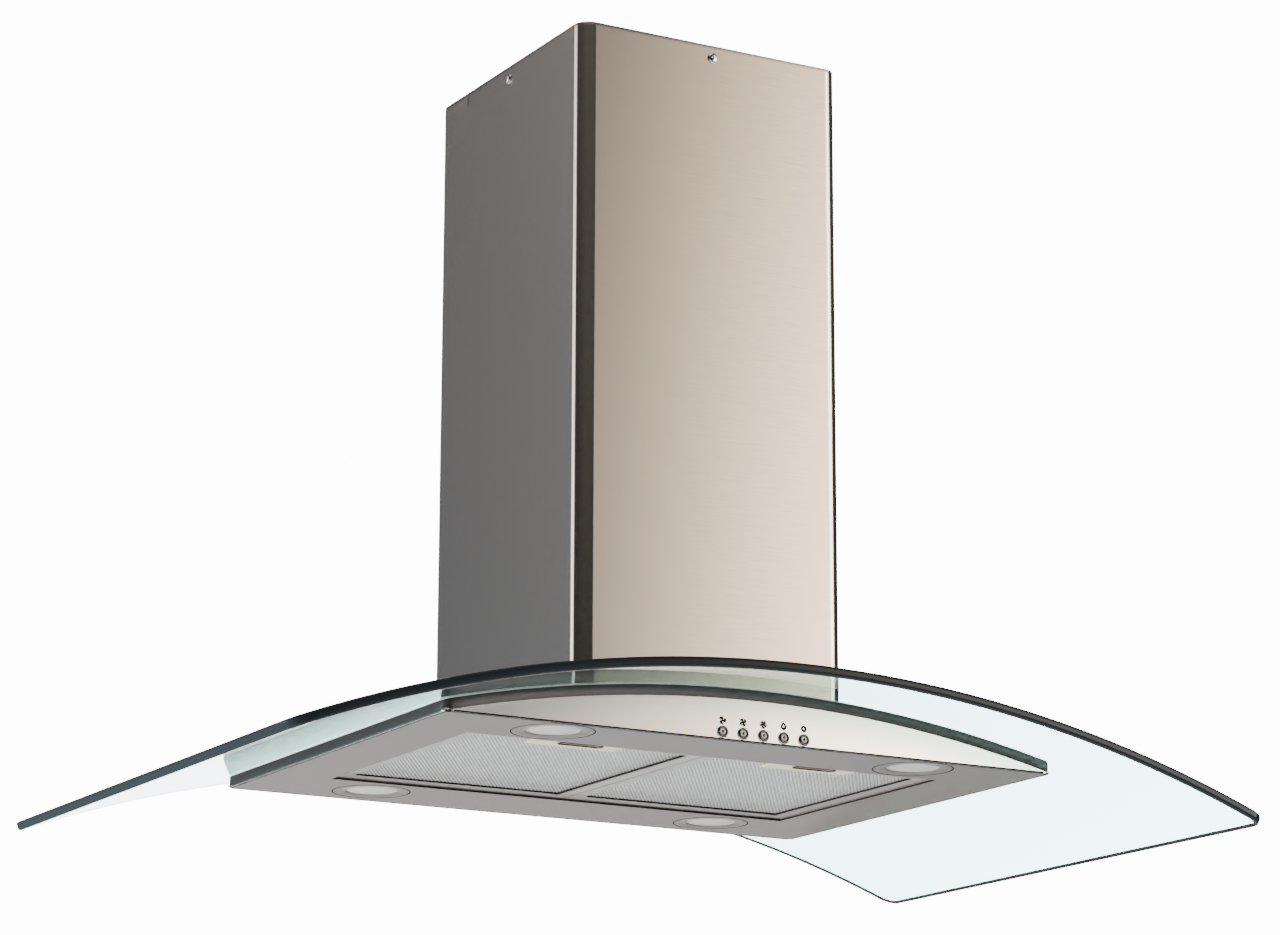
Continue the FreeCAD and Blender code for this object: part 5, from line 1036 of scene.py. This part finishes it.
@dataclass
class SwitchRow:
    """Five push buttons, their rings and the icons above them.

    Attributes:
        first: middle of the button at the left
        pitch: from button to button
        count: number of buttons
        height: of the buttons' axes
        round_steps: points round a button, a ring or a round icon
        icon_rise: icons above the buttons' axes
        icon_radius: radius of a fan
        fans: number of blades of each fan, and half the angle of a blade in radians
        blade_steps: points round a blade
        skew: how far a blade's tip is turned on, in radians
        hub: share of the fan's radius that its hub takes
        loop: radius of the lamp and of the ring
        tip: how far the lamp's top is drawn out
        line: width of their line
        ink: thickness of the print
    """

    first: float = -36.5 * MM
    pitch: float = 19.2 * MM
    count: int = 5
    height: float = 6.4 * MM - CANOPY_DROP
    round_steps: int = 48
    icon_rise: float = 9.4 * MM
    icon_radius: float = 3.5 * MM
    fans: tuple[tuple[int, float], ...] = ((3, 0.8), (4, 0.64), (5, 0.56))
    blade_steps: int = 24
    skew: float = 0.7
    hub: float = 0.3
    loop: float = 2.75 * MM
    tip: float = 1.1 * MM
    line: float = 1.95 * MM
    ink: float = 0.08 * MM

    def place(self, number: int, rise: float = 0.0) -> tuple[float, float, float]:
        """Where a button's axis meets the fascia, or the place that much above it."""
        return (self.first + number * self.pitch, FASCIA_FACE, self.height + rise)

    def fitting(self, name: str, profile: Grid, number: int, closed: bool, crease: float) -> bpy.types.Object:
        """A turned piece on a button's axis.

        Args:
            name: name of the piece
            profile: array (points, 2) of radius and height over the fascia, in millimetres
            number: number of the button
            closed: joins the profile's ends, as for a ring
            crease: edges sharper than this many degrees stay sharp

        Returns:
            The piece.
        """
        rows = turned(profile * MM, self.round_steps)
        return skin(name, aimed(rows, self.place(number), (0, -1, 0)), closed, crease)

    def build_button(self, number: int) -> bpy.types.Object:
        """Turned cap with a dot in its dished face, and its stem.

        Args:
            number: number of the button

        Returns:
            The button.
        """
        profile = np.array([
            (0, 2.35), (0.7, 2.3), (1.1, 2.1), (1.3, 1.75), (2.2, 1.6), (3.0, 1.85), (3.5, 2.3), (3.75, 2.35),
            (4.0, 2.2), (4.1, 1.9), (4.1, 0.9), (2.5, 0.9), (2.5, -10.2), (0, -10.2),
        ])
        body = f"button_{number + 1}"
        cap = self.fitting(f"button_cap_{number + 1}", profile, number, False, 50)
        return hand_over(cap, DARK_NICKEL, body, "chrome", body)

    def build_rings(self) -> bpy.types.Object:
        """Turned rings with a rounded front.

        Returns:
            The rings, joined.
        """
        profile = np.array([
            (4.4, 0), (4.4, 0.7), (4.55, 0.95), (4.75, 1.0), (4.95, 0.9), (5.1, 0.6), (5.1, 0),
        ])
        rings = [self.fitting("ring", profile, number, True, 40) for number in range(self.count)]
        return hand_over(joined("button_rings", rings), CHROME, "hood", "chrome", "button_bezels")

    def blade(self, turn: float, width: float) -> Grid:
        """Outline of one fan blade, its root at the hub and its tip at the fan's radius R.

        With k = (1 - cos s) / 2, the radius r = R * (0.12 + 0.88 * k) lies at the angle
        turn + width * sign(sin s) * |sin s| ^ 0.4 + skew * r / R.

        Args:
            turn: angle of the blade
            width: half the angle that it spans

        Returns:
            Array (points, 2).
        """
        step = np.linspace(0, 2 * math.pi, self.blade_steps, endpoint=False)
        radius = self.icon_radius * (0.12 + 0.88 * (1 - np.cos(step)) / 2)
        spread = np.sign(np.sin(step)) * np.abs(np.sin(step)) ** 0.4
        angle = turn + width * spread + self.skew * radius / self.icon_radius
        return radius[:, None] * np.stack([np.cos(angle), np.sin(angle)], -1)

    def circle(self, radius: float, point: float = 0.0) -> Grid:
        """Outline of a circle whose radius is r + point * max(0, sin s) ^ 12.

        Args:
            radius: radius r
            point: how far the top is drawn out to a tip

        Returns:
            Array (points, 2).
        """
        step = np.linspace(0, 2 * math.pi, self.round_steps, endpoint=False)
        reach = radius + point * np.maximum(0, np.sin(step)) ** 12
        return np.stack([reach * np.cos(step), reach * np.sin(step)], -1)

    def build_icons(self) -> bpy.types.Object:
        """Fans of three, four and five blades, a lamp and a ring.

        Returns:
            The icons, joined.
        """
        # A hub stands a little prouder than its blades, so that the two don't share a face
        prints = []
        for number, (blades, width) in enumerate(self.fans):
            spot = self.place(number, self.icon_rise)
            for step in range(blades):
                outline = self.blade(math.pi / 2 + 2 * math.pi * step / blades, width)
                prints.append(printed("blade", outline, spot, self.ink))
            prints.append(printed("hub", self.circle(self.hub * self.icon_radius), spot, 1.2 * self.ink))
        for number, tip in ((3, self.tip), (4, 0.0)):
            edge, hole = self.circle(self.loop, tip), self.circle(self.loop - self.line, tip)
            prints.append(printed("loop", edge, self.place(number, self.icon_rise), self.ink, hole))
        return hand_over(joined("switch_icons", prints), PRINT_INK, "hood", "dark_trim")

    def build(self) -> None:
        """Builds the buttons, rings and icons."""
        for number in range(self.count):
            self.build_button(number)
        self.build_rings()
        self.build_icons()


# ---------------------------------------------------------------------------------------------
# Studio
# ---------------------------------------------------------------------------------------------


def seen_straight(block: bpy.types.Material | bpy.types.World) -> bpy.types.NodeSocket:
    """Mask that is 1 where the camera sees a surface straight or through glass only.

    Args:
        block: material or world that gets the nodes

    Returns:
        Output that gives the mask.
    """
    path = add_node(block, "ShaderNodeLightPath")
    bounces = add_node(
        block, "ShaderNodeMath",
        {0: path.outputs["Diffuse Depth"], 1: path.outputs["Glossy Depth"]}, operation="ADD",
    )
    direct = add_node(block, "ShaderNodeMath", {0: bounces.outputs[0]}, operation="LESS_THAN")
    direct.inputs[1].default_value = 0.5
    straight = add_node(
        block, "ShaderNodeMath",
        {0: path.outputs["Is Camera Ray"], 1: path.outputs["Is Transmission Ray"]}, operation="MAXIMUM",
    )
    seen = add_node(
        block, "ShaderNodeMath", {0: direct.outputs[0], 1: straight.outputs[0]}, operation="MULTIPLY"
    )
    return seen.outputs[0]


@dataclass(frozen=True)
class SoftLight:
    """A large soft light, aimed at the middle of the hood.

    Attributes:
        name: name of the light
        bearing: degrees from the front towards the right
        rise: degrees above level
        distance: from the middle of the hood
        size: width and height
        radiance: brightness of its face
        mirrored: whether polished surfaces show it
    """

    name: str
    bearing: float
    rise: float
    distance: float
    size: tuple[float, float]
    radiance: float
    mirrored: bool = True

    def build(self) -> None:
        """An area light whose power is radiance * pi * area."""
        data = bpy.data.lights.new(self.name, "AREA")
        data.shape = "RECTANGLE"
        data.size, data.size_y = self.size
        data.energy = self.radiance * math.pi * self.size[0] * self.size[1]
        light = bpy.data.objects.new(self.name, data)
        light.visible_glossy = self.mirrored
        bearing, rise = math.radians(self.bearing), math.radians(self.rise)
        level = math.cos(rise)
        way = Vector((math.sin(bearing) * level, -math.cos(bearing) * level, math.sin(rise)))
        place = Vector((0, 0, -CANOPY_DROP / 2)) + way * self.distance
        turn = way.to_track_quat("Z", "Y").to_matrix().to_4x4()
        light.matrix_world = Matrix.Translation(place) @ turn
        bpy.context.scene.collection.objects.link(light)


@dataclass
class Studio:
    """Pale floor, soft lights, studio walls and the camera of the photograph.

    Attributes:
        floor_drop: floor below the room's ceiling
        floor_size: side of the floor
        floor_gauge: thickness of the floor
        floor_glow: how brightly the camera sees it lit
        backdrop: brightness of the white backdrop that the camera sees
        brightness: brightness of a white wall
        walls: bearing from the front towards the right, in degrees, and the wall's tone there
        ceiling: tone overhead
        ceiling_from: sine of the rise at which the walls start to turn to that tone
        ceiling_to: sine of the rise at which they have it
        lights: the soft lights
        yaw: camera's turn to the right, in radians
        pitch: its turn upwards
        roll: its turn about its own axis
        place: where it stands
        focal: its focal length in pixels of the photograph
        photo_width: width of the photograph in pixels
        sensor: width of its sensor in millimetres
    """

    floor_drop: float = 3.2
    floor_size: float = 54.0
    floor_gauge: float = 0.02
    floor_glow: float = 1.6
    backdrop: float = 14.0
    brightness: float = 12.0
    walls: tuple[tuple[float, str], ...] = (
        (-180, "2b3036"), (-153.5, "1f2225"), (-151.5, "2c2f33"), (-146, "303337"), (-140, "a6a6a6"),
        (-117, "a6a6a6"), (-112, "0c0c0c"), (-90, "040404"), (5, "040404"), (22, "060606"),
        (26, "222222"), (29, "3b3c3e"), (30.5, "5e5c5a"), (32, "c6ae92"), (34, "f8ebda"),
        (37, "fffaf2"), (48, "ffffff"), (60, "ffffff"), (68, "080808"), (135, "0a0a0a"),
        (142, "c0c4c8"), (170, "c0c4c8"), (180, "2b3036"),
    )
    ceiling: str = "1b1b1b"
    ceiling_from: float = 0.15
    ceiling_to: float = 0.53
    lights: tuple[SoftLight, ...] = (
        SoftLight("overhead", -20, 75, 3.5, (3.0, 3.0), 1.2),
        SoftLight("floor_wash", 0, -90, 2.8, (6.2, 6.2), 1.4),
        SoftLight("left_fill", -100, -25, 2.2, (1.6, 1.2), 22.0, False),
    )
    yaw: float = 0.5151238976
    pitch: float = 0.2503759321
    roll: float = 0.0025294403
    place: tuple[float, float, float] = (-1.594418, -2.825233, -1.176183)
    focal: float = 3842.942
    photo_width: int = 1280
    sensor: float = 36

    def build_floor(self) -> None:
        """A rounded square of floor, far enough below the hood."""
        ring = rounded_outline(self.floor_size, self.floor_size, self.floor_size / 4)
        level = np.full((2, len(ring), 1), -self.floor_drop)
        level[1] -= self.floor_gauge
        rows = np.concatenate([np.broadcast_to(ring, (2, *ring.shape)), level], -1)
        faces = grid_faces(2, len(ring), False).reshape(-1, 4).tolist()
        count = len(ring)
        floor = mesh_object("floor", rows, faces + [list(range(count)), list(range(count, 2 * count))])
        paint = FLOOR_PAINT.material()
        glow = add_node(paint, "ShaderNodeMath", {0: seen_straight(paint)}, operation="MULTIPLY")
        glow.inputs[1].default_value = self.floor_glow
        shader = paint.node_tree.nodes["Principled BSDF"]
        shader.inputs["Emission Color"].default_value = linear("ffffff")
        paint.node_tree.links.new(glow.outputs[0], shader.inputs["Emission Strength"])
        paint.cycles.emission_sampling = "NONE"
        floor.data.materials.append(paint)

    def build_surroundings(self) -> None:
        """Studio walls whose tone follows the compass bearing, under a dim ceiling.

        The share along the ramp is (bearing + 180) / 360. What the camera sees straight or through
        glass is a lit white backdrop.
        """
        world = bpy.data.worlds.new("studio")
        bpy.context.scene.world = world
        world.use_nodes = True
        way = add_node(world, "ShaderNodeTexCoord").outputs["Generated"]
        parts = add_node(world, "ShaderNodeSeparateXYZ", {0: way})
        front = add_node(world, "ShaderNodeMath", {0: parts.outputs["Y"]}, operation="MULTIPLY")
        front.inputs[1].default_value = -1
        bearing = add_node(
            world, "ShaderNodeMath", {0: parts.outputs["X"], 1: front.outputs[0]}, operation="ARCTAN2"
        )
        share = add_node(
            world, "ShaderNodeMapRange", {"Value": bearing.outputs[0]}, From_Min=-math.pi, From_Max=math.pi
        )
        ramp = add_node(world, "ShaderNodeValToRGB", {0: share.outputs["Result"]})
        stops = ramp.color_ramp.elements
        for _ in self.walls[2:]:
            stops.new(0.5)
        for stop, (angle, colour) in zip(stops, self.walls):
            stop.position = (angle + 180) / 360
            stop.color = linear(colour)
        rise = add_node(
            world, "ShaderNodeMapRange", {"Value": parts.outputs["Z"]},
            From_Min=self.ceiling_from, From_Max=self.ceiling_to,
        )
        ceiling = add_node(world, "ShaderNodeMix", {"Factor": rise.outputs["Result"]}, data_type="RGBA")
        world.node_tree.links.new(ramp.outputs["Color"], ceiling.inputs[6])
        ceiling.inputs[7].default_value = linear(self.ceiling)
        walls = world.node_tree.nodes["Background"]
        walls.inputs["Strength"].default_value = self.brightness
        world.node_tree.links.new(ceiling.outputs[2], walls.inputs["Color"])
        white = add_node(world, "ShaderNodeBackground", Color=linear("ffffff"), Strength=self.backdrop)
        mix = add_node(
            world, "ShaderNodeMixShader",
            {0: seen_straight(world), 1: walls.outputs[0], 2: white.outputs[0]},
        )
        world.node_tree.links.new(mix.outputs[0], world.node_tree.nodes["World Output"].inputs["Surface"])

    def build_camera(self) -> None:
        """Camera 3.3 m from the canopy and 0.55 m below it, looking up."""
        ahead = Vector((
            math.sin(self.yaw) * math.cos(self.pitch),
            math.cos(self.yaw) * math.cos(self.pitch),
            math.sin(self.pitch),
        ))
        level_right = Vector((math.cos(self.yaw), -math.sin(self.yaw), 0))
        right = math.cos(self.roll) * level_right + math.sin(self.roll) * level_right.cross(ahead)
        data = bpy.data.cameras.new("camera")
        data.sensor_width = self.sensor
        data.lens = self.sensor * self.focal / self.photo_width
        camera = bpy.data.objects.new("camera", data)
        axes = Matrix((right, right.cross(ahead), -ahead)).transposed()
        camera.matrix_world = Matrix.Translation(Vector(self.place)) @ axes.to_4x4()
        bpy.context.scene.collection.objects.link(camera)
        bpy.context.scene.camera = camera

    def build(self) -> None:
        """Builds floor, surroundings, lights and camera."""
        self.build_floor()
        self.build_surroundings()
        for light in self.lights:
            light.build()
        self.build_camera()


def main() -> None:
    """Builds the hood's looks, the studio and the camera."""
    logging.basicConfig(level=logging.INFO, format="%(message)s")
    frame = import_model()
    dress_frame(frame)
    GlassCanopy().build()
    EdgeTrim().build()
    Chimney().build()
    Lamps().build()
    Underside().build()
    SwitchRow().build()
    Studio().build()


if __name__ == "__main__":
    main()
